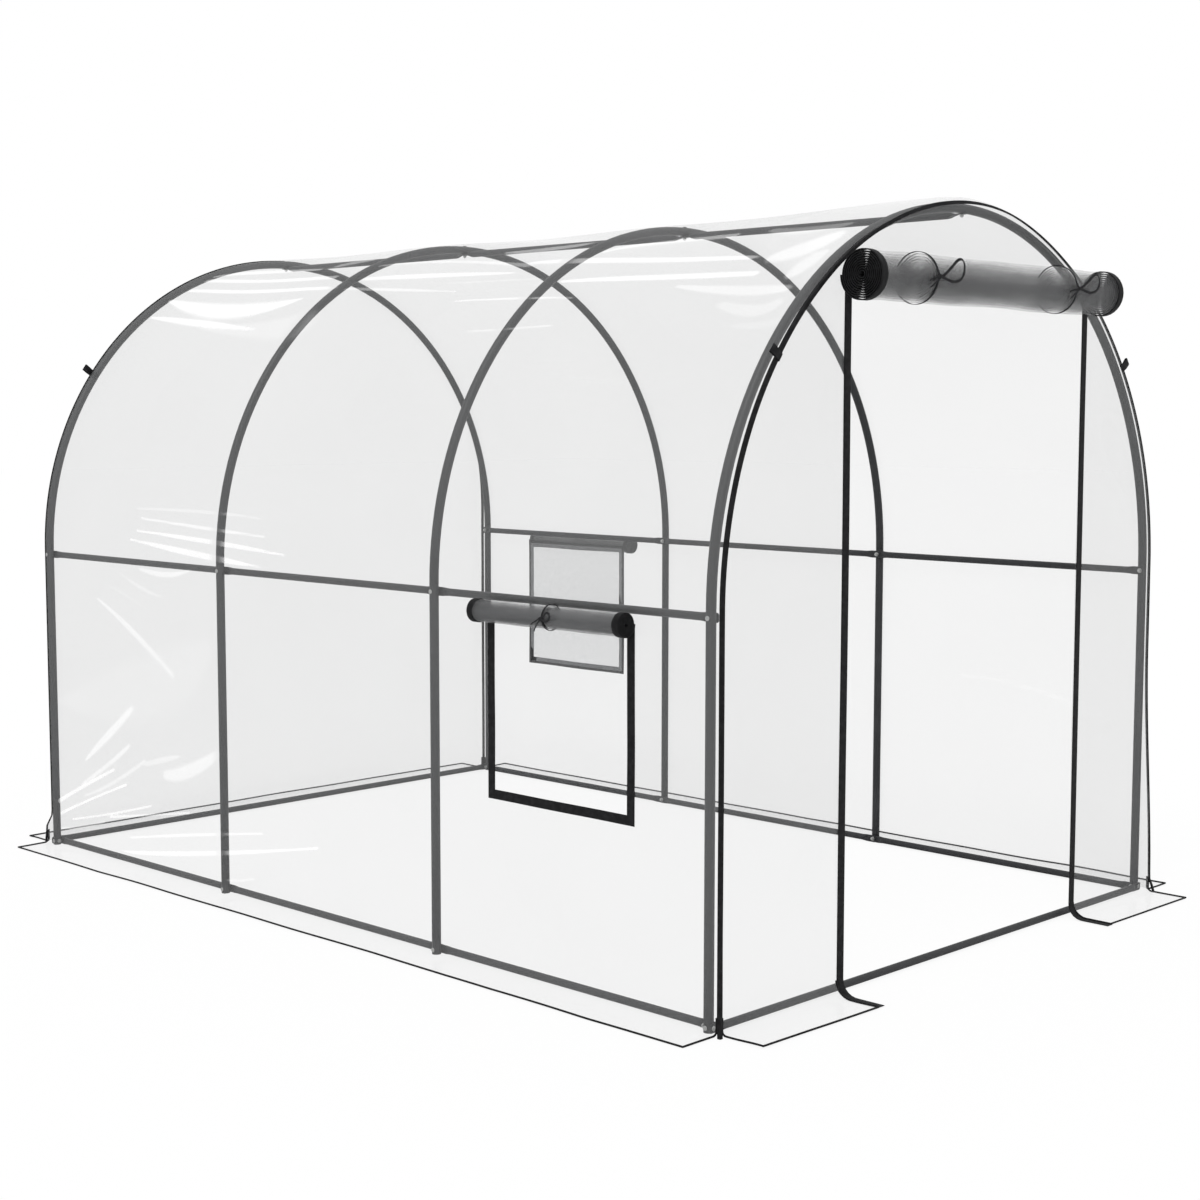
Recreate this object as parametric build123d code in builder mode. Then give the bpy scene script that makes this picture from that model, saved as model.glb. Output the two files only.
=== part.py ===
from build123d import *
import math
import os

# Walk-in polytunnel greenhouse: four steel hoops, bolted rails and a welded clear cover.
# X is across the tunnel, Y along it and Z up. The doorway faces -Y.
# The origin is on the ground, at the middle of the footprint. Sizes are in millimetres.

# Steel frame
bay_count = 3
bay_length = 975
half_span = 987.5
spring_height = 1000
hoop_diameter = 25
hoop_wall = 1
tube_sides = 8
spigot_length = 55
spigot_clearance = 0.3
rail_diameter = 20
base_rail_height = 12.5
mid_rail_drop = 18
tab_width = 24
tab_thickness = 2
tab_tip = 12
tab_flat = 16
tab_chamfer = 5
pinch_length = 30
bolt_hole = 6.5
seat_gap = 0.3

# Clear cover
film = 1.5
cover_overhang = 45
skirt_reach_x = 1120
skirt_bend = 45
door_half_width = 531
door_head_drop = 202.5
door_binding = 27
seam_binding = 10
binding_thickness = 1.5

# Mesh windows, one in each long side
window_width = 500
window_height = 469
window_head_drop = 60
window_border = 10

# Rolled-up door and window covers, with their ties
door_roll_radius = 64
door_roll_length = 1305
door_tie_places = (-345, 295)
window_roll_radius = 32
window_roll_length = 600
window_roll_drop = 47
tie_thickness = 3
tie_sides = 16

# Webbing tabs on the end seams
strap_angle = 36
strap_width = 22
strap_reach = 28
strap_thickness = 2.5

# Places that follow from the sizes above
hoop_radius = hoop_diameter / 2
apex_height = spring_height + half_span
mid_rail_height = spring_height - mid_rail_drop
bore_radius = hoop_radius - hoop_wall
spigot_radius = bore_radius - spigot_clearance
half_length = bay_count * bay_length / 2
hoop_places = [half_length - bay_length * i for i in range(bay_count + 1)]
film_inside = half_span + hoop_radius + seat_gap
film_outside = film_inside + film
end_inside = half_length + cover_overhang
end_outside = end_inside + film
rail_offset = half_span - hoop_radius - seat_gap - tab_thickness
sill_offset = half_length + hoop_radius + seat_gap + tab_thickness / 2
door_top = apex_height - door_head_drop
window_centre = half_length - bay_length / 2
window_head = spring_height - window_head_drop
window_sill = window_head - window_height
window_middle = window_head - window_height / 2
window_roll_height = spring_height - window_roll_drop
tie_space = tie_thickness + 2 * seat_gap
door_roll_y = end_outside + tie_space + door_roll_radius
window_roll_x = film_outside + binding_thickness + tie_space + window_roll_radius
skirt_reach_y = door_roll_y + door_roll_radius + seat_gap + tie_thickness
skirt_end = end_outside - seam_binding

os.makedirs("parts", exist_ok=True)
written = []


def save(piece, label):
    piece.label = label
    export_step(piece, f"parts/{label}.step")
    written.append(label)


def tube_outline(radius, mode=Mode.ADD):
    """A round outline in few sides, with flats square to the axes for what seats on it."""
    RegularPolygon(radius, tube_sides, False, 180 / tube_sides, mode=mode)


def legs(y):
    """The two upright tubes of the hoop at y, open at the foot."""
    with BuildPart() as piece:
        with BuildSketch():
            with Locations((-half_span, y), (half_span, y)):
                tube_outline(hoop_radius)
                tube_outline(bore_radius, Mode.SUBTRACT)
        extrude(amount=spring_height)
    return piece.part


def arch(y):
    """A half-round hoop tube, with a swaged spigot at each end that plugs into a leg."""
    with BuildPart() as piece:
        with BuildSketch(Plane(origin=(half_span, y, spring_height))):
            tube_outline(hoop_radius)
        revolve(axis=Axis((0, y, spring_height), (0, -1, 0)), revolution_arc=180)
        with BuildSketch(Plane.XY.offset(spring_height)):
            with Locations((-half_span, y), (half_span, y)):
                tube_outline(spigot_radius)
        extrude(amount=-spigot_length)
    return piece.part


def rail(middle, along, flat_side, bolt_spacing, tab_shift):
    """A rail tube whose ends are pinched flat and drilled.

    middle is the middle of the tube, along the way it runs, and flat_side the way the tabs face.
    tab_shift moves the tabs towards flat_side, so that two tabs stack on one bolt.
    """
    centre = Vector(middle)
    run = Vector(along)
    flat = Vector(flat_side)
    radius = rail_diameter / 2
    pinched = bolt_spacing / 2 - tab_flat
    round_end = pinched - pinch_length
    low = tab_shift - tab_thickness / 2
    high = tab_shift + tab_thickness / 2
    tip = tab_flat + tab_tip
    with BuildPart() as piece:
        with BuildSketch(Plane(origin=centre - run * pinched, x_dir=flat, z_dir=run)):
            tube_outline(radius)
        extrude(amount=2 * pinched)
        # The side view tapers each end down to the tab.
        with BuildSketch(Plane(origin=centre, x_dir=run, z_dir=run.cross(flat))):
            with BuildLine():
                Polyline(
                    (-pinched, low),
                    (-round_end, -radius),
                    (round_end, -radius),
                    (pinched, low),
                    (pinched, high),
                    (round_end, radius),
                    (-round_end, radius),
                    (-pinched, high),
                    close=True,
                )
            make_face()
        extrude(amount=rail_diameter, both=True, mode=Mode.INTERSECT)
        # The top view widens from the tube to the tab, whose tip has cut corners.
        for way in (-1, 1):
            tab_face = centre + run * way * pinched + flat * low
            with BuildSketch(Plane(origin=tab_face, x_dir=run * way, z_dir=flat)):
                with BuildLine():
                    Polyline(
                        (-pinch_length / 2, radius),
                        (0, tab_width / 2),
                        (tip - tab_chamfer, tab_width / 2),
                        (tip, tab_width / 2 - tab_chamfer),
                    )
                    mirror(about=Plane.XZ)
                    Line((tip, tab_width / 2 - tab_chamfer), (tip, tab_chamfer - tab_width / 2))
                    Line((-pinch_length / 2, radius), (-pinch_length / 2, -radius))
                make_face()
                with Locations((tab_flat, 0)):
                    tube_outline(bolt_hole / 2, Mode.SUBTRACT)
            extrude(amount=tab_thickness)
    return piece.part


def ring_section(inner, outer, y, depth):
    """Half a ring over straight sides, an upside-down U that stands on the ground at y."""
    with BuildPart() as piece:
        with BuildSketch(Plane(origin=(0, y, 0), x_dir=(1, 0, 0), z_dir=(0, -1, 0))):
            with BuildLine():
                Polyline((outer, spring_height), (outer, 0), (inner, 0), (inner, spring_height))
                CenterArc((0, spring_height), inner, 0, 180)
                Polyline((-inner, spring_height), (-inner, 0), (-outer, 0), (-outer, spring_height))
                CenterArc((0, spring_height), outer, 0, 180)
            make_face()
        extrude(amount=depth)
    return piece.part


def bent_strip(middle, outward, face, thickness, width):
    """A strip that comes down a wall, bends outward and lies on the ground.

    middle is a point at mid width, face the distance of the strip's back from it, and width
    the strip's size along the wall.
    """
    reach = skirt_reach_x if outward[0] else skirt_reach_y
    bend = face + skirt_bend
    with BuildPart() as piece:
        with BuildSketch(
            Plane(origin=middle, x_dir=outward, z_dir=Vector(outward).cross(Vector(0, 0, 1)))
        ):
            with BuildLine():
                Line((face, skirt_bend), (face + thickness, skirt_bend))
                CenterArc((bend, skirt_bend), skirt_bend - thickness, 180, 90)
                Polyline((bend, thickness), (reach, thickness), (reach, 0), (bend, 0))
                CenterArc((bend, skirt_bend), skirt_bend, 180, 90)
            make_face()
        extrude(amount=width / 2, both=True)
    return piece.part


def tie(start, along, roll_radius):
    """A loop of cord round a roll of that radius."""
    inner = roll_radius + seat_gap
    turn = 180 / tie_sides
    with BuildPart() as piece:
        with BuildSketch(Plane(origin=start, z_dir=along)):
            RegularPolygon(inner + tie_thickness, tie_sides, False, turn)
            RegularPolygon(inner, tie_sides, False, turn, mode=Mode.SUBTRACT)
        extrude(amount=tie_thickness)
    return piece.part


# Frame
for number, y in enumerate(hoop_places, start=1):
    save(legs(y), f"hoop_{number}_legs")
    save(arch(y), f"hoop_{number}_arch")

for number in range(1, bay_count + 1):
    middle_y = (hoop_places[number - 1] + hoop_places[number]) / 2
    # The rails of the middle bays bolt over those of the end bays.
    stacked = number not in (1, bay_count)
    shift = tab_thickness / 2 * (-1 if stacked else 1)
    ridge_height = spring_height + rail_offset
    ridge = rail((0, middle_y, ridge_height), (0, 1, 0), (0, 0, 1), bay_length, shift)
    save(ridge, f"ridge_tube_{number}")
    for side, name in ((-1, "left"), (1, "right")):
        for height, place in ((mid_rail_height, "mid"), (base_rail_height, "base")):
            middle = (side * rail_offset, middle_y, height)
            piece = rail(middle, (0, 1, 0), (side, 0, 0), bay_length, shift)
            save(piece, f"{name}_{place}_rail_{number}")

for side, name in ((-1, "front"), (1, "rear")):
    middle = (0, side * sill_offset, base_rail_height)
    save(rail(middle, (1, 0, 0), (0, side, 0), 2 * half_span, 0), f"{name}_sill_rail")

# Long sides of the cover, each with a window hole, and the roof between them
for side, name in ((-1, "left"), (1, "right")):
    place_y = side * window_centre
    wall_plane = Plane(
        origin=(side * film_inside, 0, 0), x_dir=(0, side, 0), z_dir=(side, 0, 0)
    )
    with BuildPart() as wall:
        with BuildSketch(wall_plane):
            with Locations((0, (skirt_bend + spring_height) / 2)):
                Rectangle(2 * end_inside, spring_height - skirt_bend)
            with Locations((window_centre, window_middle)):
                Rectangle(window_width, window_height, mode=Mode.SUBTRACT)
        extrude(amount=film)
    save(wall.part, f"{name}_wall_cover")

    with BuildPart() as mesh:
        with BuildSketch(wall_plane):
            with Locations((window_centre, window_middle)):
                Rectangle(window_width, window_height)
        extrude(amount=film)
    save(mesh.part, f"{name}_window_mesh")

    with BuildPart() as border:
        with BuildSketch(wall_plane.offset(film)):
            with Locations((window_centre, window_middle)):
                Rectangle(window_width + 2 * window_border, window_height + 2 * window_border)
                Rectangle(
                    window_width - 2 * window_border,
                    window_height - 2 * window_border,
                    mode=Mode.SUBTRACT,
                )
        extrude(amount=binding_thickness)
    save(border.part, f"{name}_window_binding")

    roll_start = (side * window_roll_x, place_y - window_roll_length / 2, window_roll_height)
    with BuildPart() as window_roll:
        with BuildSketch(Plane(origin=roll_start, z_dir=(0, 1, 0))):
            Circle(window_roll_radius)
        extrude(amount=window_roll_length)
    save(window_roll.part, f"{name}_window_roll")

    tie_start = (side * window_roll_x, place_y - tie_thickness / 2, window_roll_height)
    save(tie(tie_start, (0, 1, 0), window_roll_radius), f"{name}_window_tie")

    skirt = bent_strip((0, 0, 0), (side, 0, 0), film_inside, film, 2 * skirt_end)
    save(skirt, f"{name}_skirt")

with BuildPart() as roof:
    with BuildSketch(Plane.XY.offset(spring_height)):
        with Locations(((film_inside + film_outside) / 2, 0)):
            Rectangle(film, 2 * end_inside)
    revolve(axis=Axis((0, 0, spring_height), (0, -1, 0)), revolution_arc=180)
save(roof.part, "roof_cover")


def end_outline():
    """The outline of an end wall, from the top of the skirt's bend up over the arch."""
    with BuildLine() as outline:
        Polyline(
            (-film_outside, spring_height),
            (-film_outside, skirt_bend),
            (film_outside, skirt_bend),
            (film_outside, spring_height),
        )
        CenterArc((0, spring_height), film_outside, 0, 180)
    return outline.line


front_plane = Plane(origin=(0, -end_inside, 0), x_dir=(1, 0, 0), z_dir=(0, -1, 0))
rear_plane = Plane(origin=(0, end_inside, 0), x_dir=(-1, 0, 0), z_dir=(0, 1, 0))

with BuildPart() as rear_cover:
    with BuildSketch(rear_plane):
        make_face(end_outline())
    extrude(amount=film)
save(rear_cover.part, "rear_cover")

# The front wall is in three pieces round the doorway.
side_width = film_outside - door_half_width
for side, name in ((-1, "left"), (1, "right")):
    with BuildPart() as front_side:
        with BuildSketch(front_plane):
            make_face(end_outline())
            with Locations((side * (door_half_width + side_width / 2), door_top / 2)):
                Rectangle(side_width, door_top, mode=Mode.INTERSECT)
        extrude(amount=film)
    save(front_side.part, f"front_cover_{name}")

with BuildPart() as front_top:
    with BuildSketch(front_plane):
        make_face(end_outline())
        with Locations((0, door_top + spring_height / 2)):
            Rectangle(2 * film_outside, spring_height, mode=Mode.INTERSECT)
    extrude(amount=film)
save(front_top.part, "front_cover_top")


seam_inside = film_outside - seam_binding
front_skirt_edge = door_half_width + door_binding
front_skirt_width = seam_inside - front_skirt_edge
with BuildPart() as front_skirts:
    for side in (-1, 1):
        middle = (side * (front_skirt_edge + front_skirt_width / 2), 0, 0)
        add(bent_strip(middle, (0, -1, 0), end_inside, film, front_skirt_width))
save(front_skirts.part, "front_skirts")
rear_skirt = bent_strip((0, 0, 0), (0, 1, 0), end_inside, film, 2 * seam_inside)
save(rear_skirt, "rear_skirt")

# Black binding, folded over both end seams and down both edges of the doorway
seam_outside = film_outside + binding_thickness
for side, name in ((-1, "front"), (1, "rear")):
    with BuildPart() as seam:
        add(ring_section(seam_inside, seam_outside, side * end_outside, -side * binding_thickness))
        add(ring_section(film_outside, seam_outside, side * end_outside, side * seam_binding))
    save(seam.part, f"{name}_seam_binding")

with BuildPart() as door_bindings:
    for side in (-1, 1):
        middle_x = side * (door_half_width + door_binding / 2)
        foot = bent_strip(
            (middle_x, 0, 0), (0, -1, 0), end_outside, binding_thickness, door_binding
        )
        add(foot)
        with BuildSketch(Plane.XY.offset(skirt_bend)):
            with Locations((middle_x, -end_outside - binding_thickness / 2)):
                Rectangle(door_binding, binding_thickness)
        extrude(amount=door_top - skirt_bend)
save(door_bindings.part, "door_bindings")

# Rolled-up door, carried against the panel over the doorway by two ties
with BuildPart() as door_roll:
    roll_start = (-door_roll_length / 2, -door_roll_y, door_top)
    with BuildSketch(Plane(origin=roll_start, z_dir=(1, 0, 0))):
        Circle(door_roll_radius)
    extrude(amount=door_roll_length)
save(door_roll.part, "door_roll")

with BuildPart() as door_ties:
    for x in door_tie_places:
        tie_start = (x - tie_thickness / 2, -door_roll_y, door_top)
        add(tie(tie_start, (1, 0, 0), door_roll_radius))
save(door_ties.part, "door_ties")

# Webbing tabs sewn into the end seams at the shoulders
with BuildPart() as straps:
    for way in (-1, 1):
        for angle in (strap_angle, 180 - strap_angle):
            reach = Vector(math.cos(math.radians(angle)), 0, math.sin(math.radians(angle)))
            edge = film_outside + binding_thickness
            root = Vector(0, way * (end_outside - seam_binding / 2), spring_height) + reach * edge
            with BuildSketch(Plane(origin=root, x_dir=(0, 1, 0), z_dir=reach)):
                Rectangle(strap_thickness, strap_width)
            extrude(amount=strap_reach)
save(straps.part, "shoulder_straps")

print(len(written), "nodes")
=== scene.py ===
import bpy
import math
from mathutils import Matrix, Vector, noise


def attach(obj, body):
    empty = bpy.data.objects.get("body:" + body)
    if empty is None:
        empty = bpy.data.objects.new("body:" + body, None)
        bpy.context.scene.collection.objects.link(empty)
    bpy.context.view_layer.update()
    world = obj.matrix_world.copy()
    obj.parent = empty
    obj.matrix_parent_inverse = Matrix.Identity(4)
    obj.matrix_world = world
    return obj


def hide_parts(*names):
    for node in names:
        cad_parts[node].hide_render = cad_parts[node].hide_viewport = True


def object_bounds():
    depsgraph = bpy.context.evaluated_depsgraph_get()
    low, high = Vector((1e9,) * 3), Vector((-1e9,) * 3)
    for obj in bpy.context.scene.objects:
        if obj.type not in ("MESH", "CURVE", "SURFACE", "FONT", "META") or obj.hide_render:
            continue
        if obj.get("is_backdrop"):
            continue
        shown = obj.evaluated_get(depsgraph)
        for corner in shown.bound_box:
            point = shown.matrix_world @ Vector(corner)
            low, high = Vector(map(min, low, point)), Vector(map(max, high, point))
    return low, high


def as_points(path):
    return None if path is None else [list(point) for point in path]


# Walk-in polytunnel: steel hoops and rails under clear film, with a rolled door and rolled window flaps.
# Everything is in metres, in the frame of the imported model. The doorway faces -Y.

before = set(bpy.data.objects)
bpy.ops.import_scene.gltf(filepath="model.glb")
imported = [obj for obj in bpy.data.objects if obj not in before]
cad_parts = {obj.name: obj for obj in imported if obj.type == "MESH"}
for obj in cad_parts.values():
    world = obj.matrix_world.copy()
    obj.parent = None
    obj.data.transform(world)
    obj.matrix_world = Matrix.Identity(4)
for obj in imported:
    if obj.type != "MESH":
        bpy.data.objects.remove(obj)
cadLow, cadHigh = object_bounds()
print("frame loaded,", len(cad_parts), "nodes")

# sizes that several pieces share
tunnel = {
    "halfSpan": 0.9875,        # middle of the hoop tube
    "springHeight": 1.0,       # where the legs end and the arch starts
    "hoopPlaces": (1.4625, 0.4875, -0.4875, -1.4625),
    "bayLength": 0.975,
    "filmRadius": 1.0011,
    "filmEnd": 1.5085,         # front and rear film, from the middle
    "wallFoot": 0.045,         # where the film starts to bend out to the ground
}

cameraValues = {
    "place": (-4.4325, -4.4702, 1.4553),
    "yaw": 45.657,
    "pitch": -5.398,
    "roll": 0.046,
    "lens": 59.56,
}
lightValues = {
    "worldLevel": 0.72,
    "sunLevel": 1.15,
    "sunTurn": (math.radians(38), 0, math.radians(-62)),
    "sunSoftness": math.radians(25),
}


def deselectAll():
    bpy.ops.object.select_all(action="DESELECT")


def makeActive(obj):
    deselectAll()
    obj.select_set(True)
    bpy.context.view_layer.objects.active = obj


def applyPlace(obj):
    makeActive(obj)
    bpy.ops.object.transform_apply(location=True, rotation=True, scale=True)


def applyModifiers(obj):
    makeActive(obj)
    for modifier in list(obj.modifiers):
        bpy.ops.object.modifier_apply(modifier=modifier.name)


def editWhole(obj, operator, **settings):
    # one edit-mode operator on all of the mesh
    makeActive(obj)
    bpy.ops.object.mode_set(mode="EDIT")
    bpy.ops.mesh.select_all(action="SELECT")
    operator(**settings)
    bpy.ops.object.mode_set(mode="OBJECT")


def faceOutwards(obj):
    editWhole(obj, bpy.ops.mesh.normals_make_consistent, inside=False)


def copyPiece(obj, name):
    twin = obj.copy()
    twin.data = obj.data.copy()
    twin.name = name
    bpy.context.collection.objects.link(twin)
    return twin


def joinPieces(pieces, name):
    makeActive(pieces[0])
    for piece in pieces:
        piece.select_set(True)
    bpy.ops.object.join()
    joined = bpy.context.object
    joined.name = name
    return joined


def hand(obj, slot, material, *stoodFor):
    # the last step of each piece: its finish, its body and the solids it stands for
    applyPlace(obj)
    obj.data.materials.clear()
    obj.data.materials.append(material)
    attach(obj, "root")
    if stoodFor:
        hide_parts(*stoodFor)
    return obj


def smoothStep(value):
    value = max(0.0, min(1.0, value))
    return value * value * (3 - 2 * value)


def wander(a, b, seed):
    # soft unevenness from -1 to 1
    return noise.noise(Vector((a, b, seed))) * 1.6


# shader helpers; tree is the node tree that they add to
def makeGroup(name, inputs, outputs):
    group = bpy.data.node_groups.new(name, "ShaderNodeTree")
    for label, kind, value in inputs:
        socket = group.interface.new_socket(name=label, in_out="INPUT", socket_type=kind)
        if value is not None:
            socket.default_value = value
    for label, kind in outputs:
        group.interface.new_socket(name=label, in_out="OUTPUT", socket_type=kind)
    return group, group.nodes.new("NodeGroupInput"), group.nodes.new("NodeGroupOutput")


def addMath(tree, operation, first, second=None, third=None):
    node = tree.nodes.new("ShaderNodeMath")
    node.operation = operation
    for place, value in enumerate((first, second, third)):
        if value is None:
            continue
        if isinstance(value, (int, float)):
            node.inputs[place].default_value = value
        else:
            tree.links.new(value, node.inputs[place])
    return node.outputs[0]


def addRange(tree, value, low, high, newLow, newHigh):
    node = tree.nodes.new("ShaderNodeMapRange")
    node.interpolation_type = "SMOOTHSTEP"
    tree.links.new(value, node.inputs["Value"])
    for label, number in (("From Min", low), ("From Max", high), ("To Min", newLow), ("To Max", newHigh)):
        node.inputs[label].default_value = number
    return node.outputs["Result"]


def addNoise(tree, vector, scale, detail=2.0, stretch=None):
    if stretch:
        mapping = tree.nodes.new("ShaderNodeMapping")
        mapping.inputs["Scale"].default_value = stretch
        tree.links.new(vector, mapping.inputs["Vector"])
        vector = mapping.outputs["Vector"]
    node = tree.nodes.new("ShaderNodeTexNoise")
    node.inputs["Scale"].default_value = scale
    node.inputs["Detail"].default_value = detail
    tree.links.new(vector, node.inputs["Vector"])
    return node.outputs["Fac"]


def newMaterial(name):
    material = bpy.data.materials.new(name)
    material.use_nodes = True
    return material, material.node_tree, material.node_tree.nodes["Principled BSDF"]


def addUv(tree):
    return tree.nodes.new("ShaderNodeUVMap").outputs["UV"]


def addBump(tree, height, depth, shader):
    bump = tree.nodes.new("ShaderNodeBump")
    bump.inputs["Strength"].default_value = 1.0
    bump.inputs["Distance"].default_value = depth
    tree.links.new(height, bump.inputs["Height"])
    tree.links.new(bump.outputs["Normal"], shader.inputs["Normal"])


def blendColors(tree, fac, first, second):
    mix = tree.nodes.new("ShaderNodeMix")
    mix.data_type = "RGBA"
    tree.links.new(fac, mix.inputs["Factor"])
    mix.inputs["A"].default_value = (*first, 1)
    mix.inputs["B"].default_value = (*second, 1)
    return mix.outputs["Result"]


# camera
turn = (
    Matrix.Rotation(math.radians(-cameraValues["yaw"]), 4, "Z")
    @ Matrix.Rotation(math.radians(90 + cameraValues["pitch"]), 4, "X")
    @ Matrix.Rotation(math.radians(cameraValues["roll"]), 4, "Z")
)
deselectAll()
bpy.ops.object.camera_add(location=cameraValues["place"], rotation=turn.to_euler())
camera = bpy.context.object
camera.name = "viewCamera"
camera.data.lens = cameraValues["lens"]
camera.data.sensor_width = 36
camera.data.clip_end = 200
bpy.context.scene.camera = camera
bpy.context.scene.view_settings.view_transform = "Standard"
bpy.context.scene.cycles.transparent_max_bounces = 48  # the rolls are many layers of clear film

# light
deselectAll()
bpy.ops.object.light_add(type="SUN", location=(-4, -3, 6), rotation=lightValues["sunTurn"])
sun = bpy.context.object
sun.name = "softSun"
sun.data.energy = lightValues["sunLevel"]
sun.data.angle = lightValues["sunSoftness"]

world = bpy.context.scene.world or bpy.data.worlds.new("studio")
bpy.context.scene.world = world
world.use_nodes = True
tree = world.node_tree
tree.nodes.clear()
rays = tree.nodes.new("ShaderNodeLightPath").outputs
seen = addMath(tree, "MAXIMUM", rays["Is Camera Ray"], rays["Is Glossy Ray"])
seen = addMath(tree, "MAXIMUM", seen, rays["Is Transmission Ray"])
choose = tree.nodes.new("ShaderNodeMixShader")
tree.links.new(seen, choose.inputs[0])
for place, level in ((1, lightValues["worldLevel"]), (2, 1.0)):
    background = tree.nodes.new("ShaderNodeBackground")
    background.inputs["Color"].default_value = (1, 1, 1, 1)
    background.inputs["Strength"].default_value = level
    tree.links.new(background.outputs[0], choose.inputs[place])
tree.links.new(choose.outputs[0], tree.nodes.new("ShaderNodeOutputWorld").inputs[0])

# floor: white as seen, and it keeps a faint shadow of the tunnel
floorValues = {
    "size": 80, "drop": 0.0005, "color": (0.88, 0.88, 0.88, 1),
    "glow": 1.02,              # brightness of the share that takes no shadow
    "glowShare": 0.86,
}
deselectAll()
bpy.ops.mesh.primitive_plane_add(size=floorValues["size"], location=(0, 0, -floorValues["drop"]))
floor = bpy.context.object
floor.name = "studioFloor"
floor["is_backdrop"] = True
floorMaterial, tree, shader = newMaterial("studioFloor")
shader.inputs["Base Color"].default_value = floorValues["color"]
shader.inputs["Roughness"].default_value = 1
shader.inputs["Specular IOR Level"].default_value = 0
glow = tree.nodes.new("ShaderNodeEmission")
glow.inputs["Color"].default_value = (1, 1, 1, 1)
glow.inputs["Strength"].default_value = floorValues["glow"]
cameraRay = tree.nodes.new("ShaderNodeLightPath").outputs["Is Camera Ray"]
floorMix = tree.nodes.new("ShaderNodeMixShader")
tree.links.new(addMath(tree, "MULTIPLY", cameraRay, floorValues["glowShare"]), floorMix.inputs[0])
tree.links.new(shader.outputs[0], floorMix.inputs[1])
tree.links.new(glow.outputs[0], floorMix.inputs[2])
tree.links.new(floorMix.outputs[0], tree.nodes["Material Output"].inputs["Surface"])
floor.data.materials.append(floorMaterial)
print("camera, light and floor set")

foldValues = {
    "soft": 0.55,              # how far inside a fold its full gloss starts
    "rise": 0.0012, "steps": 10, "narrowest": 0.0055, "squares": 10, "onTube": 0.3,
}

# soft film folds with a painted highlight: Fold holds how far inside a fold a point is and how bright its
# painted highlight is
foldHighlightGroup, gIn, gOut = makeGroup(
    "filmFoldHighlights",
    [("Fold", "NodeSocketVector", None), ("Place", "NodeSocketVector", None)],
    [("PaintedHighlight", "NodeSocketFloat"), ("Height", "NodeSocketFloat")],
)
apart = foldHighlightGroup.nodes.new("ShaderNodeSeparateXYZ")
foldHighlightGroup.links.new(gIn.outputs["Fold"], apart.inputs[0])
inside = addRange(foldHighlightGroup, apart.outputs["X"], 0.0, foldValues["soft"], 0, 1)
uneven = addRange(foldHighlightGroup, addNoise(foldHighlightGroup, gIn.outputs["Place"], 7, 2.0), 0.2, 0.8, 0.86, 1.0)
# the painted highlight's strength, made uneven with noise
bright = addMath(foldHighlightGroup, "MULTIPLY", apart.outputs["Y"], uneven)
foldHighlightGroup.links.new(addMath(foldHighlightGroup, "MULTIPLY", inside, bright), gOut.inputs["PaintedHighlight"])
swell = addNoise(foldHighlightGroup, gIn.outputs["Place"], 5, 1.0)
foldHighlightGroup.links.new(addMath(foldHighlightGroup, "MULTIPLY_ADD", inside, 0.3, swell), gOut.inputs["Height"])

# woven tape and webbing: fine ribs both ways, with a thread that varies in shade
weaveGroup, gIn, gOut = makeGroup(
    "tapeWeave",
    [("Vector", "NodeSocketVector", None), ("Threads", "NodeSocketFloat", 900.0)],
    [("Height", "NodeSocketFloat"), ("Shade", "NodeSocketFloat")],
)
apart = weaveGroup.nodes.new("ShaderNodeSeparateXYZ")
weaveGroup.links.new(gIn.outputs["Vector"], apart.inputs[0])
ribs = []
for axis in ("X", "Y"):
    along = addMath(weaveGroup, "MULTIPLY", apart.outputs[axis], gIn.outputs["Threads"])
    ribs.append(addMath(weaveGroup, "SINE", addMath(weaveGroup, "MULTIPLY", along, math.tau)))
crossed = addMath(weaveGroup, "MULTIPLY", ribs[0], ribs[1])
weaveGroup.links.new(addMath(weaveGroup, "MULTIPLY_ADD", crossed, 0.5, 0.5), gOut.inputs["Height"])
worn = addNoise(weaveGroup, gIn.outputs["Vector"], 60, 4.0)
weaveGroup.links.new(addRange(weaveGroup, worn, 0.35, 0.7, 0, 1), gOut.inputs["Shade"])


steelValues = {
    "coat": (0.021, 0.022, 0.024), "scuffed": (0.036, 0.037, 0.040), "roughness": (0.42, 0.6),
    "patchScale": 9, "pebbleScale": 900, "pebbleDepth": 0.00002,
}
steelMaterial, tree, shader = newMaterial("powderCoatedSteel")
place = tree.nodes.new("ShaderNodeTexCoord").outputs["Object"]
patches = addNoise(tree, place, steelValues["patchScale"], 5.0)
pebble = addNoise(tree, place, steelValues["pebbleScale"], 2.0)
scuffs = addRange(tree, patches, 0.5, 0.78, 0, 1)
coat = blendColors(tree, scuffs, steelValues["coat"], steelValues["scuffed"])
tree.links.new(coat, shader.inputs["Base Color"])
tree.links.new(addRange(tree, patches, 0.3, 0.8, *steelValues["roughness"]), shader.inputs["Roughness"])
shader.inputs["Specular IOR Level"].default_value = 0.35
addBump(tree, pebble, steelValues["pebbleDepth"], shader)

platingValues = {
    "dull": (0.34, 0.35, 0.36), "bright": (0.52, 0.52, 0.50), "roughness": (0.28, 0.5), "scale": 160,
}
boltMaterial, tree, shader = newMaterial("platedBolts")
place = tree.nodes.new("ShaderNodeTexCoord").outputs["Object"]
bloom = addNoise(tree, place, platingValues["scale"], 4.0)
plating = blendColors(tree, bloom, platingValues["dull"], platingValues["bright"])
tree.links.new(plating, shader.inputs["Base Color"])
tree.links.new(addRange(tree, bloom, 0.3, 0.75, *platingValues["roughness"]), shader.inputs["Roughness"])
shader.inputs["Metallic"].default_value = 0.9

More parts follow.
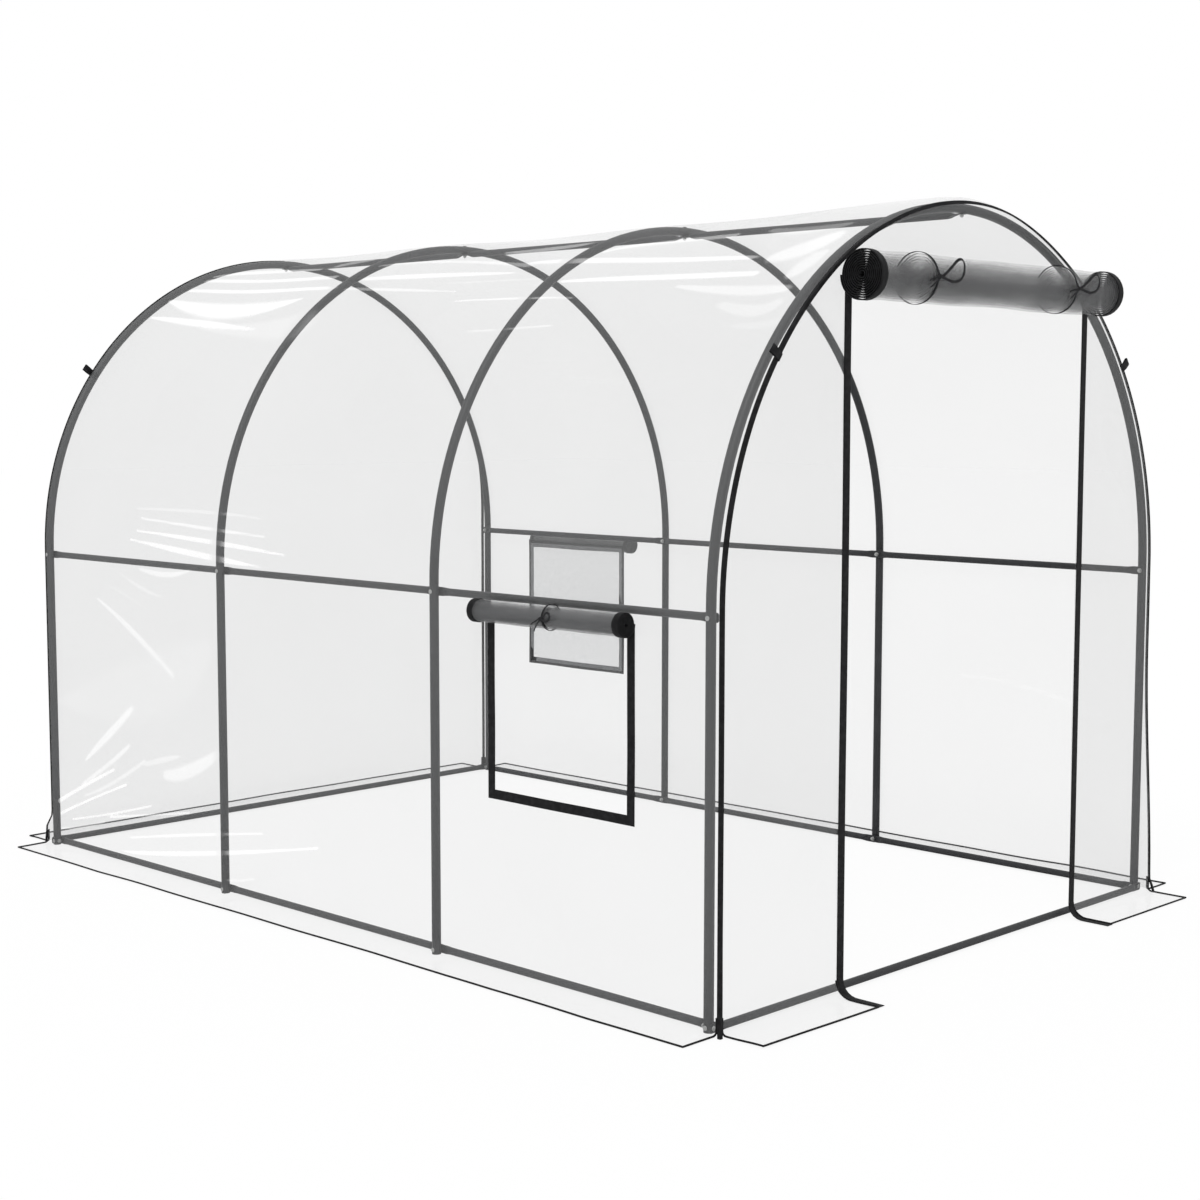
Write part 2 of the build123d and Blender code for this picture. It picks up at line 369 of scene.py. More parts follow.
filmValues = {
    "tint": (0.45, 0.455, 0.455),
    # the fold values below paint a highlight on the film's folds: white colour, more opacity and a faint glow
    "foldHighlightTint": (1.0, 1.0, 1.0),
    "clearness": 0.165,        # how much of the film shows
    "haze": 0.007,             # how much that varies
    "hazeScale": 2.2,
    "foldHighlightAlpha": 0.30,
    "foldHighlightGlow": (0.34, 0.34, 0.34),
    "foldDepth": 0.004,
    "roughness": (0.12, 0.3),
}
filmMaterial, tree, shader = newMaterial("clearFilm")
flatPlace = addUv(tree)
flow = tree.nodes.new("ShaderNodeAttribute")
flow.attribute_name = "foldFlow"
folds = tree.nodes.new("ShaderNodeGroup")
folds.node_tree = foldHighlightGroup
tree.links.new(flow.outputs["Vector"], folds.inputs["Fold"])
tree.links.new(flatPlace, folds.inputs["Place"])
foldHighlight = folds.outputs["PaintedHighlight"]
haze = addNoise(tree, flatPlace, filmValues["hazeScale"], 1.0)
clearest = filmValues["clearness"] - filmValues["haze"]
hazeAlpha = addRange(tree, haze, 0.25, 0.75, clearest, filmValues["clearness"] + filmValues["haze"])
# painted highlight on the folds: white colour, more opacity and a faint glow from the emission
tint = blendColors(tree, foldHighlight, filmValues["tint"], filmValues["foldHighlightTint"])
tree.links.new(tint, shader.inputs["Base Color"])
tree.links.new(blendColors(tree, foldHighlight, (0, 0, 0), filmValues["foldHighlightGlow"]), shader.inputs["Emission Color"])
shader.inputs["Emission Strength"].default_value = 1.0
span = addMath(tree, "SUBTRACT", filmValues["foldHighlightAlpha"], hazeAlpha)
tree.links.new(addMath(tree, "MULTIPLY_ADD", foldHighlight, span, hazeAlpha), shader.inputs["Alpha"])
tree.links.new(addRange(tree, haze, 0.3, 0.7, *filmValues["roughness"]), shader.inputs["Roughness"])
addBump(tree, folds.outputs["Height"], filmValues["foldDepth"], shader)
shader.inputs["IOR"].default_value = 1.5


def makeCloth(name, black, faded, threads, roughness):
    material, tree, shader = newMaterial(name)
    weave = tree.nodes.new("ShaderNodeGroup")
    weave.node_tree = weaveGroup
    weave.inputs["Threads"].default_value = threads
    tree.links.new(addUv(tree), weave.inputs["Vector"])
    tree.links.new(blendColors(tree, weave.outputs["Shade"], black, faded), shader.inputs["Base Color"])
    worn = addRange(tree, weave.outputs["Height"], 0, 1, roughness + 0.1, roughness)
    tree.links.new(worn, shader.inputs["Roughness"])
    shader.inputs["Specular IOR Level"].default_value = 0.1
    shader.inputs["Sheen Weight"].default_value = 0.02
    addBump(tree, weave.outputs["Height"], 0.00004, shader)
    return material


# black, faded, threads a metre and roughness
clothValues = {
    "bindingTape": ((0.0055, 0.0055, 0.006), (0.014, 0.014, 0.015), 500, 0.6),
    "webbing": ((0.008, 0.008, 0.009), (0.022, 0.022, 0.024), 450, 0.7),
    "tieCord": ((0.010, 0.010, 0.011), (0.026, 0.026, 0.028), 600, 0.65),
}
tapeMaterial = makeCloth("bindingTape", *clothValues["bindingTape"])
webbingMaterial = makeCloth("webbing", *clothValues["webbing"])
cordMaterial = makeCloth("tieCord", *clothValues["tieCord"])

meshValues = {
    "thread": (0.42, 0.43, 0.44), "pale": (0.52, 0.53, 0.54), "pitch": 0.0022,
    "near": (0.015, 0.12),     # how much of the net shows between its threads and on them
    # near and far are one net: the far copy is made denser as painted shade, the near copy sparser as painted
    # light
    "far": (0.15, 0.62),
}


def makeNet(name, holes, thread):
    material, tree, shader = newMaterial(name)
    pitch = meshValues["pitch"]
    weave = tree.nodes.new("ShaderNodeGroup")
    weave.node_tree = weaveGroup
    weave.inputs["Threads"].default_value = 0.5 / pitch
    flatPlace = addUv(tree)
    tree.links.new(flatPlace, weave.inputs["Vector"])
    apart = tree.nodes.new("ShaderNodeSeparateXYZ")
    tree.links.new(flatPlace, apart.inputs[0])
    lines = []
    for axis in ("X", "Y"):
        across = addMath(tree, "PINGPONG", apart.outputs[axis], pitch / 2)
        lines.append(addRange(tree, across, 0.12 * pitch, 0.26 * pitch, 1, 0))
    grid = addMath(tree, "MAXIMUM", lines[0], lines[1])
    tree.links.new(addRange(tree, grid, 0, 1, holes, thread), shader.inputs["Alpha"])
    shade = blendColors(tree, weave.outputs["Shade"], meshValues["thread"], meshValues["pale"])
    tree.links.new(shade, shader.inputs["Base Color"])
    shader.inputs["Roughness"].default_value = 0.6
    addBump(tree, grid, 0.0002, shader)
    return material


# the photograph's near net is much paler than the far one
# the same net twice: the far window's copy carries painted shade, the near window's copy painted light
netMaterials = {
    -1: makeNet("insectMeshPaintedLight", *meshValues["near"]),
    1: makeNet("insectMeshPaintedShade", *meshValues["far"]),
}
print("materials made")

# hoops: two legs and a half-round arch each
hoopValues = {
    "tube": 0.0125, "wall": 0.001, "sides": 32, "archSteps": 80, "mouth": 0.0007,
    "joint": 0.0004,           # the gap that shows between a leg and its arch
}


def makeLegs():
    legs = []
    for side in (-1, 1):
        deselectAll()
        bpy.ops.mesh.primitive_circle_add(
            vertices=hoopValues["sides"], radius=hoopValues["tube"],
            location=(side * tunnel["halfSpan"], 0, 0), fill_type="NOTHING", enter_editmode=True,
        )
        legLength = tunnel["springHeight"] - hoopValues["joint"]
        bpy.ops.mesh.extrude_region_move(TRANSFORM_OT_translate={"value": (0, 0, legLength)})
        bpy.ops.object.mode_set(mode="OBJECT")
        legs.append(bpy.context.object)
        applyPlace(legs[-1])
        faceOutwards(legs[-1])
    return finishTube(joinPieces(legs, "legsMaster"))


def finishTube(tube):
    wall = tube.modifiers.new("wall", "SOLIDIFY")
    wall.thickness = hoopValues["wall"]
    wall.offset = -1
    mouth = tube.modifiers.new("mouth", "BEVEL")
    mouth.width = hoopValues["mouth"]
    mouth.segments = 2
    mouth.limit_method = "ANGLE"
    mouth.angle_limit = math.radians(50)
    applyModifiers(tube)
    makeActive(tube)
    bpy.ops.object.shade_smooth_by_angle(angle=math.radians(35))
    return tube


def makeArch():
    deselectAll()
    bpy.ops.mesh.primitive_circle_add(
        vertices=hoopValues["sides"], radius=hoopValues["tube"],
        location=(tunnel["halfSpan"], 0, tunnel["springHeight"]), fill_type="NOTHING", enter_editmode=True,
    )
    bpy.ops.mesh.spin(
        steps=hoopValues["archSteps"], angle=math.pi, center=(0, 0, tunnel["springHeight"]), axis=(0, 1, 0)
    )
    bpy.ops.object.mode_set(mode="OBJECT")
    arch = bpy.context.object
    applyPlace(arch)
    faceOutwards(arch)
    return finishTube(arch)


legsMaster = makeLegs()
archMaster = makeArch()
for number, y in enumerate(tunnel["hoopPlaces"], start=1):
    for master, part in ((legsMaster, "legs"), (archMaster, "arch")):
        piece = copyPiece(master, f"hoop{number}{part.capitalize()}")
        piece.location = (0, y, 0)
        hand(piece, "frame_steel", steelMaterial, f"hoop_{number}_{part}")
for master in (legsMaster, archMaster):
    bpy.data.objects.remove(master)
print("hoops made")

# rails: round tube with each end pinched flat into a tab
railValues = {
    "tube": 0.010, "sides": 24, "tabWidth": 0.024, "tabThickness": 0.002, "tabTip": 0.012,
    "tabFlat": 0.016, "pinch": 0.030, "corner": 0.006, "offset": 0.9727,
    "midHeight": 0.982, "baseHeight": 0.0125, "sillOffset": 1.4763, "sillBolts": 1.975,
    "cornerSteps": (0, 0.0007, 0.002, 0.0035, 0.006),
    "pinchSteps": (0, 0.1, 0.22, 0.36, 0.5, 0.64, 0.78, 0.9, 1),
}


def makeRail(name, boltSpacing, shift):
    # along Y, with its tabs facing Z
    half = boltSpacing / 2
    tabStart = half - railValues["tabFlat"]
    steps = [-half - railValues["tabTip"] + step for step in railValues["cornerSteps"]]
    steps += [-tabStart + railValues["pinch"] * step for step in railValues["pinchSteps"]]
    steps += [-place for place in reversed(steps)]
    deselectAll()
    bpy.ops.mesh.primitive_circle_add(
        vertices=railValues["sides"], radius=railValues["tube"], location=(0, steps[0], 0),
        rotation=(math.pi / 2, 0, 0), fill_type="NOTHING", enter_editmode=True,
    )
    for before, after in zip(steps, steps[1:]):
        bpy.ops.mesh.extrude_region_move(TRANSFORM_OT_translate={"value": (0, after - before, 0)})
    bpy.ops.object.mode_set(mode="OBJECT")
    rail = bpy.context.object
    rail.name = name
    applyPlace(rail)
    for vert in rail.data.vertices:
        away = abs(vert.co.y)
        flat = smoothStep((away - tabStart + railValues["pinch"]) / railValues["pinch"])
        cap = railValues["tube"] + (railValues["tabThickness"] / 2 - railValues["tube"]) * flat
        wide = railValues["tube"] + (railValues["tabWidth"] / 2 - railValues["tube"]) * flat
        tip = max(0.0, (away - half - railValues["tabTip"] + railValues["corner"]) / railValues["corner"])
        rounded = railValues["corner"] * (1 - math.sqrt(max(0.0, 1 - tip * tip)))
        wide = min(wide, railValues["tabWidth"] / 2 - rounded)
        vert.co.x *= wide / railValues["tube"]
        vert.co.z = max(-cap, min(cap, vert.co.z)) + shift * flat
    makeActive(rail)
    bpy.ops.object.mode_set(mode="EDIT")
    bpy.ops.mesh.select_all(action="DESELECT")
    bpy.ops.mesh.select_non_manifold()
    bpy.ops.mesh.edge_face_add()
    bpy.ops.object.mode_set(mode="OBJECT")
    faceOutwards(rail)
    bpy.ops.object.shade_smooth_by_angle(angle=math.radians(40))
    return rail


def placeRail(master, name, place, turnY, turnZ, node):
    piece = copyPiece(master, name)
    piece.rotation_euler = (0, turnY, turnZ)
    piece.location = place
    hand(piece, "frame_steel", steelMaterial, node)


upper = makeRail("railMaster", tunnel["bayLength"], railValues["tabThickness"] / 2)
lower = makeRail("railMasterStacked", tunnel["bayLength"], -railValues["tabThickness"] / 2)
sill = makeRail("sillMaster", railValues["sillBolts"], 0)
for number in (1, 2, 3):
    y = tunnel["hoopPlaces"][number - 1] - tunnel["bayLength"] / 2
    master = lower if number == 2 else upper
    ridgeHeight = tunnel["springHeight"] + railValues["offset"]
    placeRail(master, f"ridgeTube{number}", (0, y, ridgeHeight), 0, 0, f"ridge_tube_{number}")
    for side, name in ((-1, "left"), (1, "right")):
        for part in ("mid", "base"):
            place = (side * railValues["offset"], y, railValues[part + "Height"])
            label = f"{name}{part.capitalize()}Rail{number}"
            placeRail(master, label, place, side * math.pi / 2, 0, f"{name}_{part}_rail_{number}")
for side, name in ((-1, "front"), (1, "rear")):
    place = (0, side * railValues["sillOffset"], railValues["baseHeight"])
    placeRail(sill, f"{name}SillRail", place, math.pi / 2, math.pi / 2, f"{name}_sill_rail")
for master in (upper, lower, sill):
    bpy.data.objects.remove(master)
print("rails made")

# bolts: a low domed head outside the hoop, a washer and a nut over the rails' tabs
boltValues = {
    "head": 0.0062, "headRise": 0.002, "washer": 0.007, "washerRise": 0.0012, "nut": 0.0058,
    "nutRise": 0.0048, "shank": 0.003, "end": 0.0025, "seat": 0.0001, "play": 0.0004,
}


def addDisc(sides, radius, low, rise, soften, segments):
    deselectAll()
    middle = (0, 0, low + rise / 2)
    bpy.ops.mesh.primitive_cylinder_add(vertices=sides, radius=radius, depth=rise, location=middle)
    disc = bpy.context.object
    bevel = disc.modifiers.new("edge", "BEVEL")
    bevel.width = soften
    bevel.segments = segments
    bevel.limit_method = "ANGLE"
    applyModifiers(disc)
    return disc


def makeBolt(grip):
    # grip is the distance between the head's seat and the washer's
    b = boltValues
    washerLow = -grip - b["washerRise"]
    nutLow = washerLow - b["nutRise"]
    pieces = [
        addDisc(16, b["head"], 0, b["headRise"], b["headRise"] * 0.85, 3),
        addDisc(16, b["washer"], washerLow, b["washerRise"], 0.0003, 1),
        addDisc(6, b["nut"], nutLow, b["nutRise"], 0.0006, 2),
        addDisc(12, b["shank"], nutLow - b["end"], b["end"] + 0.001, 0.0005, 1),
    ]
    bolt = joinPieces(pieces, "boltMaster")
    applyPlace(bolt)
    bpy.ops.object.shade_smooth_by_angle(angle=math.radians(40))
    return bolt


def placeBolts(grip, spots):
    master = makeBolt(grip)
    twins = []
    for place, angles in spots:
        twin = copyPiece(master, "bolt")
        twin.location = place
        twin.rotation_euler = angles
        twins.append(twin)
    bpy.data.objects.remove(master)
    return twins


bolts = []
acrossTube = 2 * hoopValues["tube"] + boltValues["play"]
hoopOut = hoopValues["tube"] + boltValues["seat"]
for number, y in enumerate(tunnel["hoopPlaces"]):
    spots = [((0, y, tunnel["springHeight"] + tunnel["halfSpan"] + hoopOut), (0, 0, 0))]
    for side in (-1, 1):
        for height in (railValues["midHeight"], railValues["baseHeight"]):
            spots.append(((side * (tunnel["halfSpan"] + hoopOut), y, height), (0, side * math.pi / 2, 0)))
    tabs = 1 if number in (0, 3) else 2
    bolts += placeBolts(acrossTube + tabs * railValues["tabThickness"], spots)
outside = tunnel["hoopPlaces"][0] + hoopValues["tube"] + boltValues["play"] + railValues["tabThickness"]
spots = [
    ((side * tunnel["halfSpan"], way * outside, railValues["baseHeight"]), (-way * math.pi / 2, 0, 0))
    for way in (-1, 1) for side in (-1, 1)
]
bolts += placeBolts(acrossTube + railValues["tabThickness"], spots)
frameBolts = joinPieces(bolts, "frameBolts")
hand(frameBolts, "frame_steel", boltMaterial)
print("bolts made")


# film: each sheet starts as a flat grid that is laid in its place, and its map keeps the flat sizes in metres
def laySheet(name, columns, rows, place, flatSize, flow=None, keep=None, spread=None):
    deselectAll()
    bpy.ops.mesh.primitive_grid_add(x_subdivisions=columns, y_subdivisions=rows, size=1)
    sheet = bpy.context.object
    sheet.name = name
    mesh = sheet.data
    flat = [(vert.co.x + 0.5, vert.co.y + 0.5) for vert in mesh.vertices]
    if spread:
        flat = [spread(u, v) for u, v in flat]
    for vert, (u, v) in zip(mesh.vertices, flat):
        vert.co = place(u, v)
    uv = mesh.uv_layers.active.data
    for loop in mesh.loops:
        u, v = flat[loop.vertex_index]
        uv[loop.index].uv = (u * flatSize[0], v * flatSize[1])
    if flow:
        layer = mesh.attributes.new("foldFlow", "FLOAT_VECTOR", "POINT")
        for index, (u, v) in enumerate(flat):
            layer.data[index].vector = flow(u, v)
    if keep:
        makeActive(sheet)
        bpy.ops.object.mode_set(mode="EDIT")
        bpy.ops.mesh.select_mode(type="FACE")
        bpy.ops.mesh.select_all(action="DESELECT")
        bpy.ops.object.mode_set(mode="OBJECT")
        for face in mesh.polygons:
            corners = [flat[index] for index in face.vertices]
            middle = (sum(c[0] for c in corners) / 4, sum(c[1] for c in corners) / 4)
            face.select = not keep(*middle)
        bpy.ops.object.mode_set(mode="EDIT")
        bpy.ops.mesh.delete(type="FACE")
        bpy.ops.mesh.select_mode(type="VERT")
        bpy.ops.object.mode_set(mode="OBJECT")
    makeActive(sheet)
    bpy.ops.object.shade_smooth()
    return sheet


def thicken(obj, thickness, offset=-1.0, edge=0.0):
    wall = obj.modifiers.new("thickness", "SOLIDIFY")
    wall.thickness = thickness
    wall.offset = offset
    if edge:
        soft = obj.modifiers.new("edge", "BEVEL")
        soft.width = edge
        soft.segments = 2
        soft.limit_method = "ANGLE"
        soft.angle_limit = math.radians(60)
    applyModifiers(obj)
    makeActive(obj)
    bpy.ops.object.shade_smooth_by_angle(angle=math.radians(45))


def makeRoundCord(name, places, radius, closed=False):
    # a round cord of this radius along a line of places
    deselectAll()
    curve = bpy.data.curves.new(name, "CURVE")
    curve.dimensions = "3D"
    curve.bevel_depth = radius
    curve.bevel_resolution = 2
    curve.use_fill_caps = not closed
    spline = curve.splines.new("POLY")
    spline.points.add(len(places) - 1)
    for point, place in zip(spline.points, places):
        point.co = (*place, 1)
    spline.use_cyclic_u = closed
    cord = bpy.data.objects.new(name, curve)
    bpy.context.collection.objects.link(cord)
    makeActive(cord)
    bpy.ops.object.convert(target="MESH")
    bpy.ops.object.shade_smooth()
    return bpy.context.object


windowValues = {
    "centre": 0.975, "width": 0.500, "bottom": 0.471, "top": 0.940, "border": 0.010, "tape": 0.025,
    "bulge": 0.003, "overlap": 0.004, "netOver": 0.0004, "tapeOver": 0.0016, "tapeThickness": 0.0016,
    "tapeWave": 0.0012, "tapeRipple": 0.0008,
}
coverValues = {
    "sagArch": 0.007, "sagWall": 0.004, "clear": 0.0004, "columns": 172, "rows": 524,
    "swell": 0.0035, "ripple": 0.0012, "boltBump": 0.0022, "boltReach": 0.05,
    "slack": 0.013, "slackReach": 0.75, "slackFrom": -0.55, "slackOver": 0.75,  # over the ridge at the front
    "rearBayShare": 0.52, "nearShare": 0.74, "nearTop": 0.50,   # where the grid is finer
}
wallRise = tunnel["springHeight"] - tunnel["wallFoot"]
archLength = math.pi * tunnel["filmRadius"]
coverLength = 2 * wallRise + archLength
coverDepth = 2 * tunnel["filmEnd"]

# the rear film is drawn tight round its hoop, apart from the foot and the right leg
wrapValues = {
    "radius": 0.0138, "footLow": 0.05, "footHigh": 0.11, "rightLow": 0.98, "rightHigh": 1.42,
    "rightFrom": 0.3, "rightOver": 0.4,
}


def rearHold(x, z):
    held = smoothStep((z - wrapValues["footLow"]) / (wrapValues["footHigh"] - wrapValues["footLow"]))
    free = 1 - smoothStep((z - wrapValues["rightLow"]) / (wrapValues["rightHigh"] - wrapValues["rightLow"]))
    return held * (1 - free * smoothStep((x - wrapValues["rightFrom"]) / wrapValues["rightOver"]))


def wrapped(turn, radius):
    # round the rear hoop's tube: distance out from the hoop's middle line, and y
    return tunnel["halfSpan"] + radius * math.cos(turn), tunnel["hoopPlaces"][0] + radius * math.sin(turn)


# the front film is not pulled out as far on the right, apart from its foot
frontPull = {"most": 0.028, "rise": 0.75, "from": -0.17, "over": 0.67}


def pullBack(x, z):
    high = smoothStep(z / frontPull["rise"])
    return frontPull["most"] * high * smoothStep((x - frontPull["from"]) / frontPull["over"])


def coverPoint(s, y, lift):
    # s runs from the left foot of the film over the ridge to the right foot
    reach = tunnel["filmRadius"] + lift
    if s < wallRise:
        return Vector((-reach, y, tunnel["wallFoot"] + s))
    if s > wallRise + archLength:
        return Vector((reach, y, tunnel["wallFoot"] + coverLength - s))
    angle = math.pi - (s - wallRise) / tunnel["filmRadius"]
    return Vector((reach * math.cos(angle), y, tunnel["springHeight"] + reach * math.sin(angle)))


def coverLift(s, y):
    bay = (y - tunnel["hoopPlaces"][-1]) / tunnel["bayLength"]
    onArch = smoothStep((s - wallRise + 0.1) / 0.4) * smoothStep((coverLength - s - wallRise + 0.1) / 0.4)
    nearFoot = smoothStep(s / 0.2) * smoothStep((coverLength - s) / 0.2)
    lift = coverValues["clear"]
    if 0 < bay < 3:
        between = math.sin(math.pi * (bay % 1)) ** 2 * nearFoot
        sag = coverValues["sagWall"] + (coverValues["sagArch"] - coverValues["sagWall"]) * onArch
        lift -= between * sag
        lift += between * coverValues["swell"] * wander(s * 1.7, y * 1.3, 3)
        lift += between * coverValues["ripple"] * wander(s * 9, y * 2.2, 8)
    overRidge = (s - coverLength / 2) / coverValues["slackReach"]
    if abs(overRidge) < 1:
        inFront = smoothStep((coverValues["slackFrom"] - y) / coverValues["slackOver"])
        inFront *= smoothStep((y + 1.52) / 0.05)
        lift += coverValues["slack"] * (1 - overRidge * overRidge) ** 2 * inFront
    boltDrop = tunnel["springHeight"] - railValues["midHeight"]
    for place in (wallRise - boltDrop, wallRise + archLength / 2, coverLength - wallRise + boltDrop):
        for hoop in tunnel["hoopPlaces"]:
            gap = math.hypot(s - place, y - hoop)
            if gap < coverValues["boltReach"]:
                lift += coverValues["boltBump"] * (1 - smoothStep(gap / coverValues["boltReach"]))
    return lift


# glossy folds of the cover, laid after the photograph: place up the sheet, y and width at one end, the middle
# and the other end, then brightness
# each fold's brightness is the strength of the painted highlight drawn on it
coverFolds = [
    ((2.13, 1.35, 0.029), (2.16, 1.10, 0.056), (2.13, 0.76, 0.021), 1),
    ((2.09, 1.34, 0.039), (2.06, 0.95, 0.038), (2.03, 0.57, 0.037), 1),
    ((2.01, 1.34, 0.031), (1.98, 0.91, 0.034), (1.95, 0.48, 0.027), 1),
    ((1.94, 1.38, 0.022), (1.86, 0.93, 0.122), (1.90, 0.59, 0.010), 1),
    ((1.84, 1.37, 0.015), (1.80, 1.04, 0.046), (1.75, 0.69, 0.004), 1),
    ((1.78, 1.02, 0.027), (1.75, 0.69, 0.100), (1.76, 0.47, 0.182), 0.4),
    ((2.15, 0.68, 0.060), (2.17, 0.60, 0.062), (2.17, 0.53, 0.015), 0.9),
    ((2.00, 0.39, 0.029), (2.00, 0.08, 0.041), (1.97, -0.32, 0.012), 1),
    ((2.10, 0.42, 0.020), (2.10, 0.09, 0.025), (2.01, -0.34, 0.029), 0.8),
    ((1.94, 0.42, 0.018), (1.92, 0.14, 0.022), (1.89, -0.13, 0.005), 0.8),
    ((1.94, -0.06, 0.009), (1.93, -0.29, 0.011), (1.92, -0.49, 0.010), 0.6),
    ((1.84, -0.18, 0.007), (1.83, -0.42, 0.014), (1.82, -0.68, 0.009), 0.9),
    ((1.70, -0.35, 0.006), (1.70, -0.46, 0.012), (1.71, -0.68, 0.006), 0.7),
    ((2.15, -0.11, 0.022), (2.14, -0.32, 0.054), (2.16, -0.48, 0.024), 1),
    ((2.03, -0.33, 0.021), (2.01, -0.62, 0.044), (1.96, -1.21, 0.026), 1),
    ((1.90, -0.56, 0.016), (1.90, -0.86, 0.035), (1.88, -1.27, 0.031), 1),
    ((2.07, -0.59, 0.029), (2.11, -0.73, 0.039), (2.12, -1.02, 0.046), 1),
    ((1.85, -1.02, 0.016), (1.81, -1.27, 0.053), (1.81, -1.42, 0.031), 0.7),
    ((1.76, -1.23, 0.033), (1.73, -1.36, 0.059), (1.76, -1.42, 0.037), 0.5),
    ((1.68, -1.32, 0.020), (1.68, -1.42, 0.036), (1.70, -1.45, 0.026), 0.3),
    ((2.13, -1.14, 0.031), (2.10, -1.27, 0.072), (2.12, -1.40, 0.035), 0.6),
    ((1.95, -1.28, 0.067), (1.99, -1.36, 0.120), (2.05, -1.41, 0.068), 0.85),
    ((1.86, -1.39, 0.043), (1.91, -1.41, 0.080), (1.96, -1.43, 0.037), 0.7),
    ((1.11, 0.94, 0.009), (1.11, 0.51, 0.015), (1.10, 0.27, 0.003), 0.5),
    ((1.08, 0.91, 0.006), (1.06, 0.50, 0.015), (1.05, 0.25, 0.003), 0.85),
    ((1.04, 0.93, 0.006), (1.02, 0.47, 0.021), (1.00, 0.15, 0.003), 1),
    ((1.01, 0.96, 0.006), (0.98, 0.57, 0.028), (0.96, 0.26, 0.003), 1),
    ((0.92, 0.91, 0.013), (0.91, 0.76, 0.025), (0.93, 0.63, 0.006), 0.75),
    ((0.90, 1.02, 0.007), (0.86, 0.90, 0.018), (0.84, 0.79, 0.007), 0.45),
    ((0.86, 1.11, 0.007), (0.83, 0.99, 0.015), (0.79, 0.86, 0.004), 0.25),
    ((0.81, 1.16, 0.013), (0.71, 0.94, 0.029), (0.60, 0.73, 0.021), 0.75),
    ((0.27, 1.25, 0.012), (0.37, 1.11, 0.039), (0.47, 0.97, 0.024), 0.85),
    ((0.19, 1.27, 0.011), (0.28, 1.10, 0.022), (0.35, 0.99, 0.018), 0.75),
    ((0.11, 1.42, 0.021), (0.17, 1.29, 0.018), (0.26, 1.08, 0.014), 1),
    ((0.15, 1.26, 0.007), (0.21, 1.10, 0.017), (0.31, 0.90, 0.017), 0.65),
    ((0.07, 1.41, 0.017), (0.14, 1.23, 0.013), (0.22, 1.01, 0.013), 1),
    ((0.30, 0.90, 0.019), (0.33, 0.78, 0.025), (0.35, 0.70, 0.009), 0.6),
    ((0.28, 0.78, 0.044), (0.31, 0.65, 0.063), (0.38, 0.50, 0.038), 0.75),
    ((0.06, 1.34, 0.010), (0.11, 1.11, 0.010), (0.17, 0.87, 0.009), 1),
    ((0.10, 1.11, 0.006), (0.15, 0.82, 0.009), (0.18, 0.65, 0.003), 1),
    ((0.02, 1.41, 0.010), (0.04, 1.29, 0.010), (0.08, 1.14, 0.003), 0.9),
    ((0.05, 0.99, 0.006), (0.11, 0.65, 0.015), (0.17, 0.28, 0.006), 0.8),
    ((-0.01, 1.11, 0.007), (0.05, 0.66, 0.022), (0.17, 0.00, 0.006), 0.9),
    ((-0.00, 0.47, 0.006), (0.01, 0.39, 0.012), (0.03, 0.31, 0.003), 0.6),
    ((0.45, 1.40, 0.020), (0.54, 0.89, 0.288), (0.69, 0.55, 0.098), 0.22),
    ((3.42, 1.05, 0.006), (3.50, 0.60, 0.030), (3.46, 0.20, 0.006), 0.3),
    ((3.35, 1.20, 0.006), (3.40, 0.90, 0.024), (3.38, 0.60, 0.006), 0.3),
    ((3.12, -0.30, 0.008), (3.08, -0.80, 0.034), (3.10, -1.20, 0.008), 0.45),
    ((3.00, 0.90, 0.008), (2.97, 0.30, 0.030), (3.00, -0.20, 0.008), 0.45),
    ((4.94, 1.10, 0.006), (4.86, 0.70, 0.018), (4.82, 0.35, 0.006), 0.35),
    ((4.60, -1.35, 0.008), (4.52, -1.10, 0.026), (4.50, -0.80, 0.006), 0.3),
]


def foldLine(fold):
    # a smooth line through the three places, with its width
    line = []
    for step in range(foldValues["steps"] + 1):
        t = step / foldValues["steps"]
        shares = ((1 - t) * (1 - 2 * t), 4 * t * (1 - t), t * (2 * t - 1))
        line.append([sum(share * spot[i] for share, spot in zip(shares, fold[:3])) for i in range(3)])
    return line


foldBins = {}              # the folds' pieces by square, so each place looks at few of them
for fold in coverFolds:
    line = foldLine(fold)
    for first, second in zip(line, line[1:]):
        margin = max(first[2], second[2], 0.012) + 0.01
        squares = []
        for near, far in zip(first[:2], second[:2]):
            low = math.floor((min(near, far) - margin) * foldValues["squares"])
            high = math.floor((max(near, far) + margin) * foldValues["squares"])
            squares.append(range(low, high + 1))
        for a in squares[0]:
            for b in squares[1]:
                foldBins.setdefault((a, b), []).append((first, second, fold[3]))


def foldAt(s, y):
    # how far inside a fold this place is (1 on its line, 0 at its edge, then down to -1), and the strength of
    # its painted highlight
    chosen, best = (-1.0, 0.0), -1.0
    square = (math.floor(s * foldValues["squares"]), math.floor(y * foldValues["squares"]))
    for first, second, highlightLevel in foldBins.get(square, ()):
        ds, dy = second[0] - first[0], second[1] - first[1]
        t = max(0.0, min(1.0, ((s - first[0]) * ds + (y - first[1]) * dy) / (ds * ds + dy * dy)))
        gap = math.hypot(s - first[0] - t * ds, y - first[1] - t * dy)
        reach = max(foldValues["narrowest"], (first[2] + (second[2] - first[2]) * t) / 2)
        inside = max(-1.0, 1 - gap / reach)
        score = smoothStep(inside / foldValues["soft"]) * highlightLevel + 0.0001 * inside
        if score > best:
            chosen, best = (inside, highlightLevel), score
    # the painted highlight is faint where the middle hoops lie under the film
    fromTube = smoothStep((min(abs(y - hoop) for hoop in tunnel["hoopPlaces"][1:3]) - 0.012) / 0.025)
    return chosen[0], chosen[1] * (foldValues["onTube"] + (1 - foldValues["onTube"]) * fromTube)


